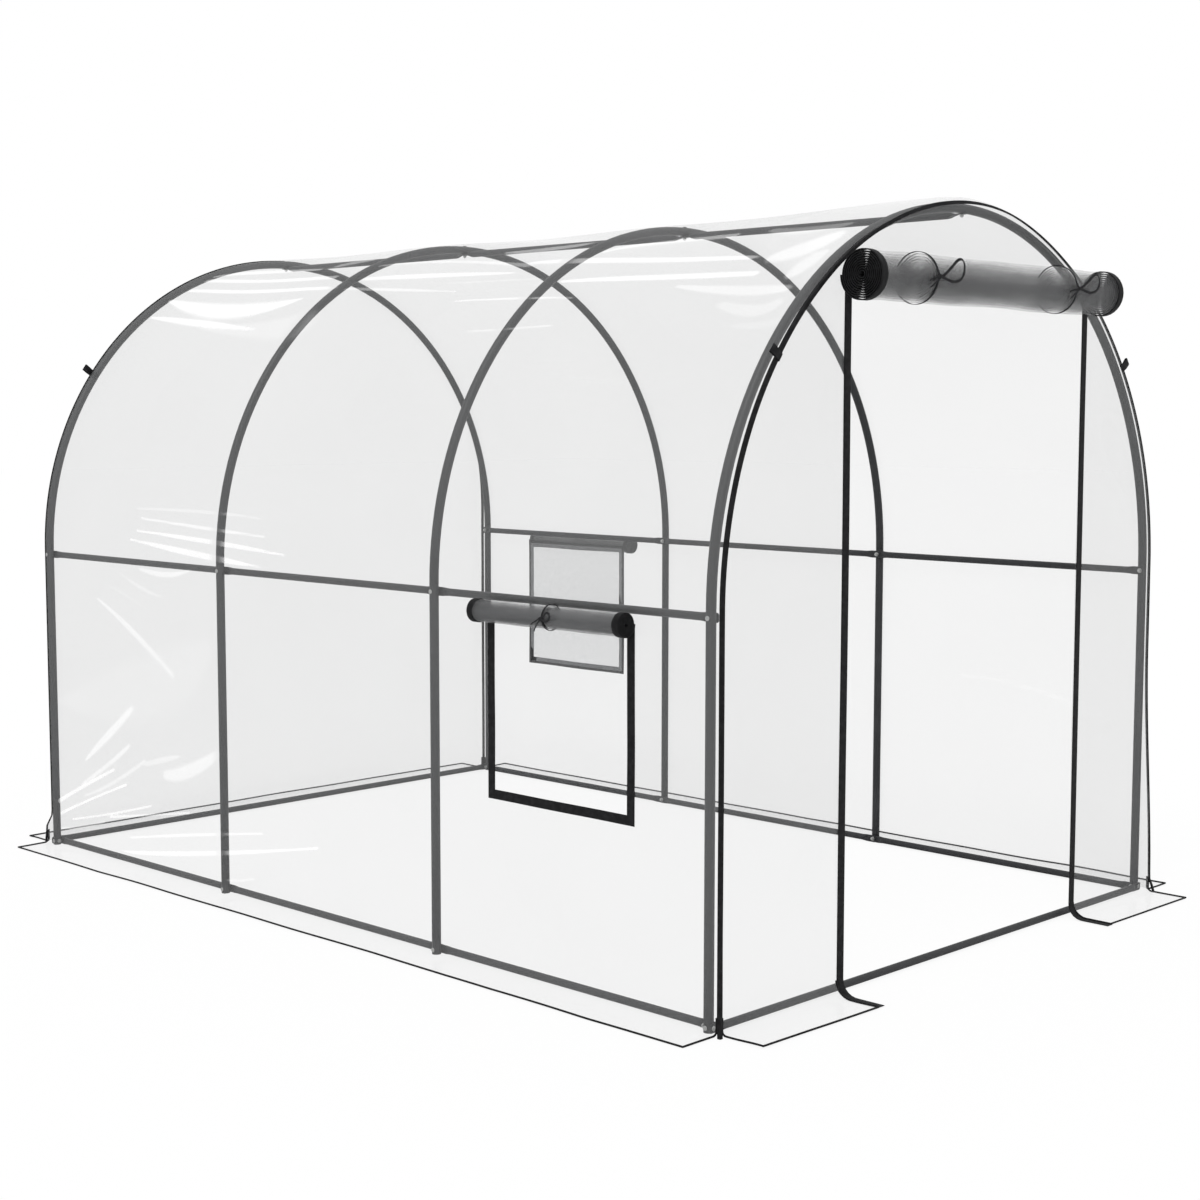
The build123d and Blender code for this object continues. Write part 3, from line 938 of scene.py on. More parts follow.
def coverSpread(u, v):
    # finer columns in the rear bay, finer rows on the side that is creased most
    bay = (tunnel["filmEnd"] - tunnel["hoopPlaces"][1]) / coverDepth
    share = coverValues["rearBayShare"]
    u = u / share * bay if u < share else bay + (u - share) / (1 - share) * (1 - bay)
    top, near = coverValues["nearTop"], coverValues["nearShare"]
    v = v / near * top if v < near else top + (v - near) / (1 - near) * (1 - top)
    return u, v


def coverPlace(u, v):
    y = tunnel["filmEnd"] - u * coverDepth
    s = v * coverLength
    inside, highlightLevel = foldAt(s, y)
    lift = coverLift(s, y) + foldValues["rise"] * highlightLevel * smoothStep(inside)
    point = coverPoint(s, y, lift)
    overhang = tunnel["filmEnd"] - tunnel["hoopPlaces"][0]
    past = (abs(y) - tunnel["hoopPlaces"][0]) / overhang
    if past <= 0:
        return point
    if y < 0:
        point.y += past * pullBack(point.x, point.z)
        return point
    out, along = wrapped(past * math.pi / 4, wrapValues["radius"])
    return point.lerp(coverPoint(s, along, out - tunnel["filmRadius"]), rearHold(point.x, point.z))


def coverFlow(u, v):
    return (*foldAt(v * coverLength, tunnel["filmEnd"] - u * coverDepth), 0.0)


def windowHole(side, s, y):
    # side -1 is the left wall, with its window in the front bay
    height = tunnel["wallFoot"] + (s if side < 0 else coverLength - s)
    overlap = windowValues["overlap"]
    inside = abs(y - side * windowValues["centre"]) < windowValues["width"] / 2 - overlap
    return inside and windowValues["bottom"] + overlap < height < windowValues["top"] - overlap


def coverKeep(u, v):
    y = tunnel["filmEnd"] - u * coverDepth
    s = v * coverLength
    return not (windowHole(-1, s, y) or windowHole(1, s, y))


cover = laySheet(
    "tunnelCover", coverValues["columns"], coverValues["rows"], coverPlace,
    (coverDepth, coverLength), coverFlow, coverKeep, coverSpread,
)
hand(cover, "clear_film", filmMaterial, "left_wall_cover", "roof_cover", "right_wall_cover")
print("cover laid,", len(cover.data.polygons), "faces")

# end walls
endValues = {
    "doorHalf": 0.531, "doorTop": 1.785, "columns": 100, "rows": 90, "bulge": 0.004, "pucker": 0.0025,
    "level": 0.35,
    "beside": 0.3,             # the share of the columns on each side of the doorway
    "below": 0.9,              # the share of the rows up to its top
}
doorTurn = math.acos(endValues["doorHalf"] / tunnel["filmRadius"])
endWidth = 2 * tunnel["filmRadius"]
endHeight = tunnel["springHeight"] + tunnel["filmRadius"] - tunnel["wallFoot"]


def endAcross(u):
    # the columns follow the arch evenly at the sides, and meet the doorway's edges
    radius, beside = tunnel["filmRadius"], endValues["beside"]
    if u < beside:
        return -radius * math.cos(u / beside * doorTurn)
    if u > 1 - beside:
        return radius * math.cos((1 - u) / beside * doorTurn)
    return -endValues["doorHalf"] + (u - beside) / (1 - 2 * beside) * 2 * endValues["doorHalf"]


def endPoint(u, v, way):
    x = endAcross(u)
    radius = tunnel["filmRadius"]
    top = tunnel["springHeight"] + math.sqrt(max(0.0, radius * radius - x * x))
    foot = tunnel["wallFoot"]
    split = endValues["doorTop"]
    if abs(x) > endValues["doorHalf"] + 1e-6:
        edgeTop = tunnel["springHeight"] + radius * math.sin(doorTurn)
        split = foot + (endValues["doorTop"] - foot) / (edgeTop - foot) * (top - foot)
    below = endValues["below"]
    z = foot + v / below * (split - foot) if v < below else split + (v - below) / (1 - below) * (top - split)
    fromSide = (radius - abs(x)) / 0.15 if z < tunnel["springHeight"] else 1.0
    edge = smoothStep(min(1.0, (top - z) / 0.2, fromSide, (z - foot) / 0.15))
    pucker = endValues["pucker"] * wander(x * 8, z * 2.5, 30 + way)
    bulge = edge * (endValues["bulge"] * wander(x * 2.1, z * 1.6, 20 + way) + pucker)
    point = Vector((x * -way, way * (tunnel["filmEnd"] + bulge), z))
    middle = Vector((0, 0, max(0.0, z - tunnel["springHeight"])))
    fromMiddle = Vector((point.x, 0, middle.z))
    inFrom = radius - fromMiddle.length
    if way < 0:
        # beside the doorway the panel stays behind the door's tape
        besideTape = smoothStep((point.x - endValues["doorHalf"] - 0.04) / 0.12)
        besideTape = max(besideTape, smoothStep((z - endValues["doorTop"] + 0.045) / 0.1))
        point.y += pullBack(point.x, z) * (1 - smoothStep(inFrom / endValues["level"])) * besideTape
        return point
    turn = math.pi / 4 * (1 + min(1.0, max(0.0, inFrom) / wrapValues["radius"]))
    out, along = wrapped(turn, wrapValues["radius"])
    if inFrom < wrapValues["radius"]:
        fromMiddle *= out / fromMiddle.length
    tight = Vector((fromMiddle.x, along + bulge, z - middle.z + fromMiddle.z))
    return point.lerp(tight, rearHold(point.x, z))


def rearPlace(u, v):
    return endPoint(u, v, 1)


def frontPlace(u, v):
    return endPoint(u, v, -1)


def frontKeep(u, v):
    return not (endValues["beside"] < u < 1 - endValues["beside"] and v < endValues["below"])


endGrid = (endValues["columns"], endValues["rows"])
rearPanel = laySheet("rearPanel", *endGrid, rearPlace, (endWidth, endHeight))
hand(rearPanel, "clear_film", filmMaterial, "rear_cover")
frontPanel = laySheet("frontPanel", *endGrid, frontPlace, (endWidth, endHeight), None, frontKeep)
hand(frontPanel, "clear_film", filmMaterial, "front_cover_left", "front_cover_right", "front_cover_top")
print("end walls laid")

# skirts, from the foot of the walls out onto the ground, with piping round their free edges
skirtValues = {
    "bend": 0.045, "sideReach": 1.116, "endReach": 1.635, "sideHalf": 1.499, "frontInside": 0.558,
    "cornerHalf": 0.9918, "tightShare": 0.25, "tightOver": 0.15, "wave": 0.006, "lift": 0.0028,
    "ripple": 0.0018, "buckle": 0.0035, "piping": 0.0027, "rows": 14, "column": 0.02,
}


def skirtProfile(t, face, reach, bend):
    # t from 0 at the wall to 1 at the free edge; gives the distance out and the height
    straight = skirtValues["bend"] - bend
    curved = math.pi / 2 * bend
    flat = reach - face - bend
    way = t * (straight + curved + flat)
    if way < straight:
        return face, skirtValues["bend"] - way
    way -= straight
    if way < curved:
        angle = way / bend
        return face + bend * (1 - math.cos(angle)), bend * (1 - math.sin(angle))
    return face + bend + way - curved, 0.0


def groundRipple(a, b, seed):
    return skirtValues["lift"] + skirtValues["ripple"] * (1 + wander(a * 3.1, b * 7, seed)) * 0.5


def makeSkirt(name, low, high, face, reach, outward, seed):
    # outward is a unit vector; the skirt runs from low to high along the wall
    along = Vector((-outward[1], outward[0], 0))
    flip = -1 if (outward[0] + outward[1]) > 0 else 1

    def place(u, v):
        run = (low + (high - low) * u) * flip
        # the bend is tight at the tunnel's corners, under the seam tape
        fromCorner = max(abs(low), abs(high)) - abs(run)
        loose = smoothStep(fromCorner / skirtValues["tightOver"])
        bend = skirtValues["bend"] * (skirtValues["tightShare"] + (1 - skirtValues["tightShare"]) * loose)
        out, up = skirtProfile(v, face, reach, bend)
        far = smoothStep((out - face - 0.01) / (reach - face))
        out += skirtValues["wave"] * far * wander(run * 1.3, 0.2, seed) * 1.2
        up += groundRipple(run, out, seed) * smoothStep(v * 3)
        up += skirtValues["buckle"] * far * max(0.0, wander(run * 2.6, out * 4, seed + 5))
        return Vector((outward[0] * out, outward[1] * out, up)) + along * run * flip

    length = high - low
    depth = math.pi / 2 * skirtValues["bend"] + reach - face - skirtValues["bend"]
    columns = max(20, int(length / skirtValues["column"]))
    skirt = laySheet(name, columns, skirtValues["rows"], place, (length, depth))
    border = [place(0, i / 24) for i in range(25)]
    border += [place(i / 120, 1) for i in range(1, 121)]
    border += [place(1, 1 - i / 24) for i in range(1, 25)]
    return skirt, border


def makePiping(name, border):
    radius = skirtValues["piping"]
    return makeRoundCord(name, [(spot.x, spot.y, max(spot.z, radius)) for spot in border], radius)


endFace = tunnel["filmEnd"]
half, corner, inner = skirtValues["sideHalf"], skirtValues["cornerHalf"], skirtValues["frontInside"]
wallSkirt = (tunnel["filmRadius"], skirtValues["sideReach"])
endSkirt = (endFace, skirtValues["endReach"])
pipings = {}
for name, low, high, (face, reach), outward, seed, node in (
    ("left", -half, half, wallSkirt, (-1, 0), 11, "left_skirt"),
    ("right", -half, half, wallSkirt, (1, 0), 14, "right_skirt"),
    ("rear", -corner, corner, endSkirt, (0, 1), 17, "rear_skirt"),
    ("frontLeft", -corner, -inner, endSkirt, (0, -1), 21 - corner, "front_skirts"),
    ("frontRight", inner, corner, endSkirt, (0, -1), 21 + inner, "front_skirts"),
):
    skirt, border = makeSkirt(f"{name}Skirt", low, high, face, reach, outward, seed)
    hand(skirt, "clear_film", filmMaterial, node)
    pipings[name] = makePiping(f"{name}SkirtPiping", border)
for piping in pipings.values():
    hand(piping, "binding_tape", tapeMaterial)
print("skirts laid")

# black tape folded over both end seams
seamValues = {
    "frontFold": 0.0088, "rearFold": 0.0068, "thickness": 0.0016, "radius": 1.0022, "over": 0.0012,
    "corner": 0.0016, "uneven": 0.0006, "flare": 0.010, "narrow": 0.8, "columns": 8, "rows": 260,
    "wrapOver": 0.0024, "wrapLength": 0.015,                    # round the rear hoop
}


def makeSeam(name, way, node):
    radius = seamValues["radius"]
    foot = tunnel["wallFoot"]
    rise = tunnel["springHeight"]
    curved = math.pi * radius
    whole = 2 * rise + curved

    def follow(s, reach, y):
        # up the right leg, over and down the left, with a small turn outwards on the ground
        low = smoothStep((foot - min(s, whole - s)) / foot) * seamValues["flare"] * (1 if way < 0 else 0.3)
        if s < rise:
            return Vector((reach + low, y + way * low, s))
        if s > rise + curved:
            return Vector((-reach - low, y + way * low, whole - s))
        angle = (s - rise) / radius
        return Vector((reach * math.cos(angle), y, tunnel["springHeight"] + reach * math.sin(angle)))

    fold = seamValues["frontFold"] if way < 0 else seamValues["rearFold"]

    def place(u, v):
        s = v * whole
        # across the fold: down the end wall, round the corner, back along the roof
        across = (u - 0.5) * 2 * fold
        corner = seamValues["corner"]
        if abs(across) < corner:
            inward = corner * (1 - math.sin((across / corner + 1) * math.pi / 4))
            back = corner * (1 - math.cos((across / corner + 1) * math.pi / 4))
        elif across < 0:
            inward, back = -across, 0.0
        else:
            inward, back = 0.0, across
        inward += seamValues["uneven"] * wander(s * 5, u * 2, 41 + way) * (1 if across < 0 else 0)
        reach = radius - inward + seamValues["uneven"] * wander(s * 2.3, 0, 45 + way)
        y = way * (tunnel["filmEnd"] + seamValues["over"] - back)
        point = follow(s, reach, y)
        if way < 0:
            pulled = pullBack(point.x, point.z)
            if across < 0:
                inset = inward * seamValues["narrow"] * pulled / frontPull["most"]
                point = follow(s, reach + inset, y)
            point.y += pulled
            return point
        turn = math.pi / 4 - across / seamValues["wrapLength"]
        out, along = wrapped(turn, wrapValues["radius"] + seamValues["wrapOver"])
        return point.lerp(follow(s, out, along), rearHold(point.x, point.z))

    seam = laySheet(name, seamValues["columns"], seamValues["rows"], place, (2 * fold, whole))
    if way > 0:
        editWhole(seam, bpy.ops.mesh.flip_normals)
    thicken(seam, seamValues["thickness"], -0.2)
    hand(seam, "binding_tape", tapeMaterial, node)


makeSeam("frontSeamBinding", -1, "front_seam_binding")
makeSeam("rearSeamBinding", 1, "rear_seam_binding")

# tape down the doorway's edges and out onto the ground
doorTapeValues = {
    "inside": 0.531, "width": 0.027, "thickness": 0.0016, "over": 0.0012, "reach": 1.638, "wave": 0.0022,
    "clear": 0.003,            # height above the ground
}


def makeDoorTape(name, side):
    top = endValues["doorTop"]
    bend = skirtValues["bend"]
    face = endFace + doorTapeValues["over"]
    straight = top - bend
    curved = math.pi / 2 * bend
    flat = doorTapeValues["reach"] - face - bend
    whole = straight + curved + flat

    def place(u, v):
        s = v * whole
        x = doorTapeValues["inside"] + doorTapeValues["width"] * u
        sway = doorTapeValues["wave"] * wander(s * 1.6, 0.3, 50 + side)
        if s < straight:
            out, z = face, top - s
        elif s < straight + curved:
            angle = (s - straight) / bend
            out, z = face + bend * (1 - math.cos(angle)), bend * (1 - math.sin(angle))
            z += doorTapeValues["clear"] * smoothStep((s - straight) / curved)
        else:
            out, z = face + bend + s - straight - curved, doorTapeValues["clear"]
        return Vector((side * x + sway * smoothStep(s / 0.3), -out, z))

    tape = laySheet(name, 4, 150, place, (doorTapeValues["width"], whole))
    if side > 0:
        editWhole(tape, bpy.ops.mesh.flip_normals)
    thicken(tape, doorTapeValues["thickness"], 0.0, 0.0004)
    hand(tape, "binding_tape", tapeMaterial, "door_bindings")


makeDoorTape("doorTapeLeft", -1)
makeDoorTape("doorTapeRight", 1)
print("binding sewn")

# webbing loops sewn on the end seams: out along the arch's own direction, folded over, and back
strapValues = {
    "angle": math.radians(36), "width": 0.022, "reach": 0.030, "root": 0.010, "loop": 0.0042,
    "thickness": 0.0013, "tip": 0.12,
}


def makeStrap(side, way):
    s = strapValues
    inner = tunnel["filmRadius"] - s["root"]
    tip = tunnel["filmRadius"] + s["reach"]
    middleY = tunnel["filmEnd"] + 0.0022
    if way > 0:
        middleY = tunnel["hoopPlaces"][0] + wrapValues["radius"] * 0.75 + 0.002

    def place(u, v):
        # v: up one layer, round the loop, down the other; the layers part towards the tip
        across = (u - 0.5) * s["width"]
        t = abs(2 * v - 1)
        if t > s["tip"]:
            gap = s["loop"] * smoothStep(1.5 - 1.5 * t)
            out = tip - (tip - inner) * (t - s["tip"] / 2) / 0.94
        else:
            gap = s["loop"] * smoothStep(1.5 - 1.5 * t) * (t / s["tip"])
            out = tip - 0.00175 * (t / s["tip"]) ** 2
        layer = (1 if v < 0.5 else -1) * (0.0008 + gap * 0.5)
        turn = s["angle"] + across / out
        sway = 0.0012 * wander(v * 3, u + side, 90 + way)
        up = tunnel["springHeight"] + out * math.sin(turn)
        spot = Vector((side * out * math.cos(turn), way * (middleY + layer + sway), up))
        if way < 0:
            spot.y += pullBack(spot.x, spot.z)
        return spot

    strap = laySheet("strap", 8, 40, place, (s["width"], 2 * (tip - inner)))
    thicken(strap, s["thickness"], 0.0, 0.0003)
    return strap


# none at the rear on the right: the photograph shows that place through the film, and it is bare
strapPlaces = ((-1, -1), (-1, 1), (1, -1))
straps = joinPieces([makeStrap(side, way) for side, way in strapPlaces], "shoulderStraps")
hand(straps, "webbing", webbingMaterial, "shoulder_straps")
print("straps sewn")


# mesh windows and their black borders
def makeWindow(side, name):
    w = windowValues
    width = w["width"]
    height = w["top"] - w["bottom"]

    def place(u, v):
        edge = smoothStep(4 * min(u, 1 - u, v, 1 - v))
        bulge = w["bulge"] * edge * (0.5 + 0.5 * wander(u * 2, v * 2, 60 + side))
        out = tunnel["filmRadius"] + w["netOver"] + bulge
        return Vector((side * out, side * (w["centre"] + (u - 0.5) * width), w["bottom"] + v * height))

    net = laySheet(f"{name}WindowNet", 40, 38, place, (width, height))
    hand(net, "insect_mesh", netMaterials[side], f"{name}_window_mesh")

    middle = (side * (tunnel["filmRadius"] + w["tapeOver"]), side * w["centre"], (w["bottom"] + w["top"]) / 2)
    deselectAll()
    bpy.ops.mesh.primitive_plane_add(size=1, location=middle, rotation=(math.pi / 2, 0, side * math.pi / 2))
    border = bpy.context.object
    border.name = f"{name}WindowBorder"
    border.scale = (width + 2 * w["border"], height + 2 * w["border"], 1)
    applyPlace(border)
    bpy.ops.object.mode_set(mode="EDIT")
    bpy.ops.mesh.select_all(action="SELECT")
    bpy.ops.mesh.inset(thickness=w["tape"])
    bpy.ops.mesh.delete(type="FACE")
    bpy.ops.mesh.select_all(action="SELECT")
    bpy.ops.mesh.subdivide(number_cuts=14)
    bpy.ops.object.mode_set(mode="OBJECT")
    uv = border.data.uv_layers.active.data
    for loop in border.data.loops:
        spot = border.data.vertices[loop.vertex_index].co
        uv[loop.index].uv = (spot.y, spot.z)
    for vert in border.data.vertices:
        vert.co.x += side * w["tapeRipple"] * wander(vert.co.y * 6, vert.co.z * 6, 64)
        vert.co.y += w["tapeWave"] * wander(vert.co.z * 5, 0.4, 66)
        vert.co.z += w["tapeWave"] * wander(vert.co.y * 5, 0.7, 68)
    thicken(border, w["tapeThickness"], 0.0, 0.0004)
    hand(border, "binding_tape", tapeMaterial, f"{name}_window_binding")
    return net, border


windows = [makeWindow(-1, "left"), makeWindow(1, "right")]
print("windows made")

# rolls: one spiral of film, with a spiral of tape at each end
doorRoll = {
    "length": 1.112, "outside": 0.0635, "inside": 0.006, "turns": 10, "slack": 0.0040, "waves": 4.0,
    "seed": 71, "tape": 0.024, "tapeThickness": 0.0028, "columns": 60, "rows": 320,
    "centre": (-0.026, -1.5766, 1.785), "clearness": 0.14, "creases": (0.223, 0.863),
}
windowRoll = {
    "length": 0.533, "outside": 0.0315, "inside": 0.004, "turns": 6, "slack": 0.0018, "waves": 8.0,
    "seed": 75, "tape": 0.020, "tapeThickness": 0.0034, "columns": 36, "rows": 170,
    "centre": (1.0389, 0.9735, 0.953), "clearness": 0.33, "creases": (0.279,),
}
# the roll's film colours are much darker than the clear cover film's: painted shade inside the roll, with
# random streaks of tone
rollFinish = {
    "light": (0.20, 0.203, 0.207), "dark": (0.045, 0.045, 0.048), "creaseShade": (0.012, 0.012, 0.013),
    # the crease colour and its extra opacity paint a shade band where each tie pinches the layers
    "bottomOpacity": 0.13, "creaseWidth": 0.0055, "creaseShadeAlpha": 0.7,
}


def makeRolledFilm(name, values):
    # streaked along the roll and coloured much darker than the clear film, as painted shade of the roll's
    # inner layers; more opaque towards the bottom; and a painted shade band where each tie pinches the layers
    material, tree, shader = newMaterial(name)
    flatPlace = addUv(tree)
    apart = tree.nodes.new("ShaderNodeSeparateXYZ")
    tree.links.new(flatPlace, apart.inputs[0])
    standing = tree.nodes.new("ShaderNodeSeparateXYZ")
    tree.links.new(tree.nodes.new("ShaderNodeTexCoord").outputs["Object"], standing.inputs[0])
    streak = addNoise(tree, flatPlace, 1.0, 3.0, (2.2, 60, 1))
    cloud = addNoise(tree, flatPlace, 9, 3.0)
    streaks = addRange(tree, streak, 0.35, 0.7, 0.2, 1)
    mixed = addMath(tree, "MULTIPLY", streaks, addRange(tree, cloud, 0.3, 0.7, 0.4, 1))
    pinch = None
    for creaseShade in values["creases"]:
        away = addMath(tree, "ABSOLUTE", addMath(tree, "SUBTRACT", apart.outputs["X"], creaseShade))
        here = addRange(tree, away, 0.4 * rollFinish["creaseWidth"], rollFinish["creaseWidth"], 1, 0)
        pinch = here if pinch is None else addMath(tree, "MAXIMUM", pinch, here)
    # painted shade band: near black and more opaque where each tie pinches the roll
    film = tree.nodes.new("ShaderNodeMix")
    film.data_type = "RGBA"
    tree.links.new(pinch, film.inputs["Factor"])
    tree.links.new(blendColors(tree, mixed, rollFinish["light"], rollFinish["dark"]), film.inputs["A"])
    film.inputs["B"].default_value = (*rollFinish["creaseShade"], 1)
    tree.links.new(film.outputs["Result"], shader.inputs["Base Color"])
    middle, radius = values["centre"][2], values["outside"]
    up = standing.outputs["Z"]
    # more opaque towards the bottom of the roll
    low = addRange(tree, up, middle - radius, middle + 0.5 * radius, rollFinish["bottomOpacity"], 0)
    body = addRange(tree, mixed, 0, 1, values["clearness"] - 0.03, values["clearness"] + 0.08)
    body = addMath(tree, "ADD", body, low)
    alpha = addMath(tree, "MULTIPLY_ADD", pinch, rollFinish["creaseShadeAlpha"], body)
    tree.links.new(alpha, shader.inputs["Alpha"])
    tree.links.new(addRange(tree, cloud, 0.2, 0.8, 0.15, 0.35), shader.inputs["Roughness"])
    addBump(tree, streak, 0.0003, shader)
    return material


def rollSpot(values, u, v):
    # u along the roll, v from the outside turn inwards; gives place along, radius and angle
    along = (u - 0.5) * values["length"]
    angle = values["turns"] * math.tau * v
    radius = values["outside"] - (values["outside"] - values["inside"]) * v
    # neighbouring turns sway together, and the taped ends lie tight
    fromEnd = values["length"] / 2 - abs(along)
    loose = 0.12 + 0.88 * smoothStep((fromEnd - values["tape"]) / 0.07)
    aside = math.cos(angle) * 0.7 + v * 1.4
    sway = Vector((along * values["waves"], aside, math.sin(angle) * 0.7 + values["seed"]))
    radius += loose * values["slack"] * (1 - 0.6 * v) * (noise.noise(sway) * 1.6 - 0.15)
    return along, min(radius, values["outside"] + 0.0005), angle


def spiralLength(values):
    return math.pi * values["turns"] * (values["outside"] + values["inside"])


def doorRollPlace():
    cx, cy, cz = doorRoll["centre"]

    def place(u, v):
        along, radius, angle = rollSpot(doorRoll, u, v)
        # starts at the panel and comes down, forward and up
        return Vector((cx + along, cy + radius * math.cos(angle), cz - radius * math.sin(angle)))
    return place


def windowRollPlace(side):
    cx, cy, cz = windowRoll["centre"]

    def place(u, v):
        along, radius, angle = rollSpot(windowRoll, u, v)
        out = cx - radius * math.cos(angle)
        return Vector((side * out, side * (cy + along), cz - radius * math.sin(angle)))
    return place


def makeRoll(name, values, place, material, node):
    film = laySheet(name, values["columns"], values["rows"], place, (values["length"], spiralLength(values)))
    hand(film, "rolled_film", material, node)
    share = values["tape"] / values["length"]
    ends = []
    for low in (0.0, 1 - share):
        def tapePlace(u, v, low=low):
            return place(low + u * share, v)
        tape = laySheet(f"{name}Tape", 3, values["rows"], tapePlace, (values["tape"], spiralLength(values)))
        thicken(tape, values["tapeThickness"], 0.0, 0.0009)
        ends.append(tape)
    tapes = joinPieces(ends, f"{name}Tapes")
    hand(tapes, "binding_tape", tapeMaterial)
    return film, tapes


doorRollMaterial = makeRolledFilm("rolledDoorFilm", doorRoll)
flapMaterial = makeRolledFilm("rolledFlapFilm", windowRoll)
doorFilm, doorFilmTapes = makeRoll("doorFilmRoll", doorRoll, doorRollPlace(), doorRollMaterial, "door_roll")
flaps = [
    makeRoll(f"{name}WindowFlap", windowRoll, windowRollPlace(side), flapMaterial, f"{name}_window_roll")
    for side, name in ((-1, "left"), (1, "right"))
]
print("rolls made")

# ties: each a flat cord over the roll, a bow in front of it, and back under the roll, with a knot and two
# tails; the angles over and below run from the roll's top, growing to the front
tieValues = {
    "thickness": 0.0014, "tailShare": 0.55, "knot": 0.0036, "knotCord": 0.0036, "knotSteps": 48,
    "over": (-1.1, -0.75, -0.4, -0.05, 0.35, 0.75, 1.1, 1.35),
    "below": (1.85, 2.2, 2.6, 3.0, 3.4, 3.8, 4.15),
}
# bow and tails: along the roll, past the ring and above the roll's middle
doorTie = {
    "places": (-0.333, 0.307), "ring": 0.0655, "width": 0.0072, "aside": -0.0005,
    "bow": (
        (0.001, 0.0015, 0.004), (0.012, 0.004, 0.000), (0.040, 0.008, 0.022), (0.068, 0.010, 0.046),
        (0.090, 0.010, 0.046), (0.100, 0.009, 0.022), (0.086, 0.009, -0.004), (0.052, 0.008, -0.012),
        (0.022, 0.007, -0.004), (0.004, 0.0066, 0.000), (-0.004, 0.0055, -0.003), (-0.004, 0.0022, -0.009),
    ),
    "tails": (
        (
            (0.0, 0.006, 0.0), (-0.008, 0.006, -0.001), (-0.017, 0.004, -0.004), (-0.026, 0.001, -0.005),
            (-0.034, -0.001, -0.010),
        ),
        (
            (0.0, 0.006, -0.001), (-0.007, 0.006, -0.007), (-0.016, 0.004, -0.013), (-0.021, 0.001, -0.020),
            (-0.028, -0.003, -0.026),
        ),
    ),
}
flapTie = {
    "place": 0.0125, "ring": 0.0333, "width": 0.0056, "aside": -0.0004,
    "bow": (
        (0.000, 0.0012, 0.003), (0.004, 0.0035, -0.001), (0.014, 0.006, 0.008), (0.024, 0.008, 0.017),
        (0.034, 0.008, 0.014), (0.036, 0.008, 0.003), (0.028, 0.008, -0.006), (0.014, 0.0075, -0.005),
        (0.002, 0.0065, 0.000), (-0.003, 0.0050, -0.002), (-0.002, 0.0020, -0.006),
    ),
    "tails": (
        (
            (0.0, 0.005, 0.0), (-0.010, 0.006, -0.004), (-0.020, 0.004, -0.009), (-0.029, 0.002, -0.012),
            (-0.038, 0.001, -0.018),
        ),
        (
            (0.0, 0.005, -0.002), (-0.006, 0.006, -0.010), (-0.014, 0.005, -0.018), (-0.021, 0.003, -0.026),
            (-0.026, 0.001, -0.034),
        ),
    ),
}


def makeRoute(points):
    # the flat cord's middle line: a smooth curve through its given points
    curve = bpy.data.curves.new("route", "CURVE")
    curve.dimensions = "3D"
    curve.resolution_u = 8
    spline = curve.splines.new("NURBS")
    spline.points.add(len(points) - 1)
    for point, place in zip(spline.points, points):
        point.co = (*place, 1)
    spline.order_u = 3
    spline.use_endpoint_u = True
    holder = bpy.data.objects.new("route", curve)
    line = [vert.co.copy() for vert in bpy.data.meshes.new_from_object(holder).vertices]
    bpy.data.objects.remove(holder)
    return line


def makeFlatCord(name, points, width, axisStart, axis):
    # laid flat towards the roll's middle line, which runs through axisStart along axis
    line = makeRoute(points)
    sides = []
    for index, spot in enumerate(line):
        before, after = line[max(0, index - 1)], line[min(len(line) - 1, index + 1)]
        outward = spot - axisStart
        outward -= axis * outward.dot(axis)
        sides.append((after - before).normalized().cross(outward.normalized()))
    smoothSides = []
    for index in range(len(line)):
        near = sides[max(0, index - 4):index + 5]
        smoothSides.append(sum(near, Vector((0, 0, 0))).normalized())

    def place(u, v):
        index = min(len(line) - 1, round(v * (len(line) - 1)))
        return line[index] + smoothSides[index] * (u - 0.5) * width

    length = sum((b - a).length for a, b in zip(line, line[1:]))
    cord = laySheet(name, 2, len(line) - 1, place, (width, length))
    thicken(cord, tieValues["thickness"], 0.0, 0.0003)
    hand(cord, "tie_cord", cordMaterial)
    return cord, line, length


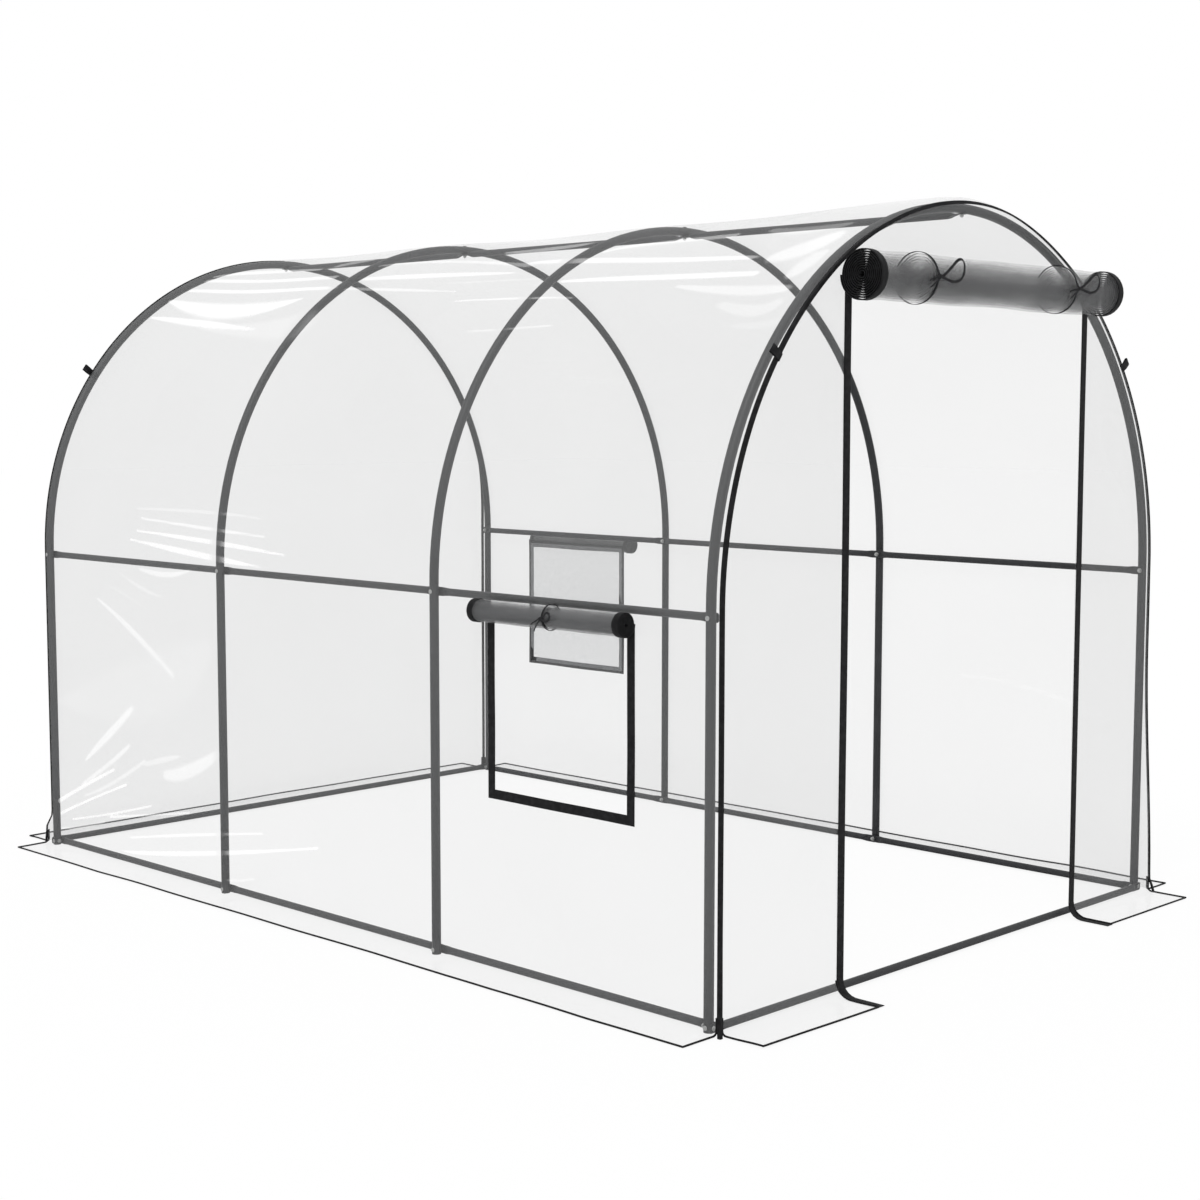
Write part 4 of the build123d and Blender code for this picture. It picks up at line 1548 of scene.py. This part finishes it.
def makeKnot(name, place):
    # the lump where the bow is tied: one closed overhand turn of the cord
    size = tieValues["knot"]
    spots = []
    for step in range(tieValues["knotSteps"]):
        a = step / tieValues["knotSteps"] * math.tau
        spots.append((
            place[0] + size * (math.sin(a) + 2 * math.sin(2 * a)) / 3,
            place[1] + size * -math.sin(3 * a) / 2.2,
            place[2] + size * (math.cos(a) - 2 * math.cos(2 * a)) / 3,
        ))
    return hand(makeRoundCord(name, spots, tieValues["knotCord"] / 2, True), "tie_cord", cordMaterial)


def makeTie(name, node, turnedPlace, axis, values):
    # turnedPlace takes a place along the roll, forward of its middle and above its middle
    ring, width = values["ring"], values["width"]

    def aroundRoll(angles, aside):
        return [turnedPlace(aside, ring * math.sin(a), ring * math.cos(a)) for a in angles]

    def pastRing(spots):
        return [turnedPlace(along, ring + past, above) for along, past, above in spots]

    axisStart = turnedPlace(0, 0, 0)
    route = aroundRoll(tieValues["over"], 0.0) + pastRing(values["bow"])
    route += aroundRoll(tieValues["below"], values["aside"])
    cord, line, length = makeFlatCord(name, route, width, axisStart, axis)
    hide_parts(node)
    knot = makeKnot(f"{name}Knot", turnedPlace(0.0, ring + 0.005, -0.001))
    tuple(route[0])
    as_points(line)
    tailWidth = tieValues["tailShare"] * width
    for number, tail in enumerate(values["tails"], start=1):
        ends = pastRing(tail)
        piece, line, length = makeFlatCord(f"{name}Tail{number}", ends, tailWidth, axisStart, axis)
        tuple(ends[0])
        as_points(line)


for place, name, rise in zip(doorTie["places"], ("Left", "Right"), (1.0, 0.88)):
    def onDoor(along, forward, above, place=place, rise=rise):
        # rise: how tall this bow stands
        cx, cy, cz = doorRoll["centre"]
        return Vector((cx + place + along, cy - forward, cz + above * (rise if along > 0.005 else 1)))
    makeTie(f"doorTie{name}", "door_ties", onDoor, Vector((1, 0, 0)), doorTie)

for side, name in ((-1, "left"), (1, "right")):
    def onFlap(along, forward, above, side=side):
        cx, cy, cz = windowRoll["centre"]
        return Vector((side * (cx + forward), side * (cy + flapTie["place"] + along), cz + above))
    makeTie(f"{name}WindowTie", f"{name}_window_tie", onFlap, Vector((0, 1, 0)), flapTie)
print("ties made")

low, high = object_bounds()
{"cad": [list(cadLow), list(cadHigh)], "scene": [list(low), list(high)]}
print("size", [round(v, 4) for v in low], [round(v, 4) for v in high])
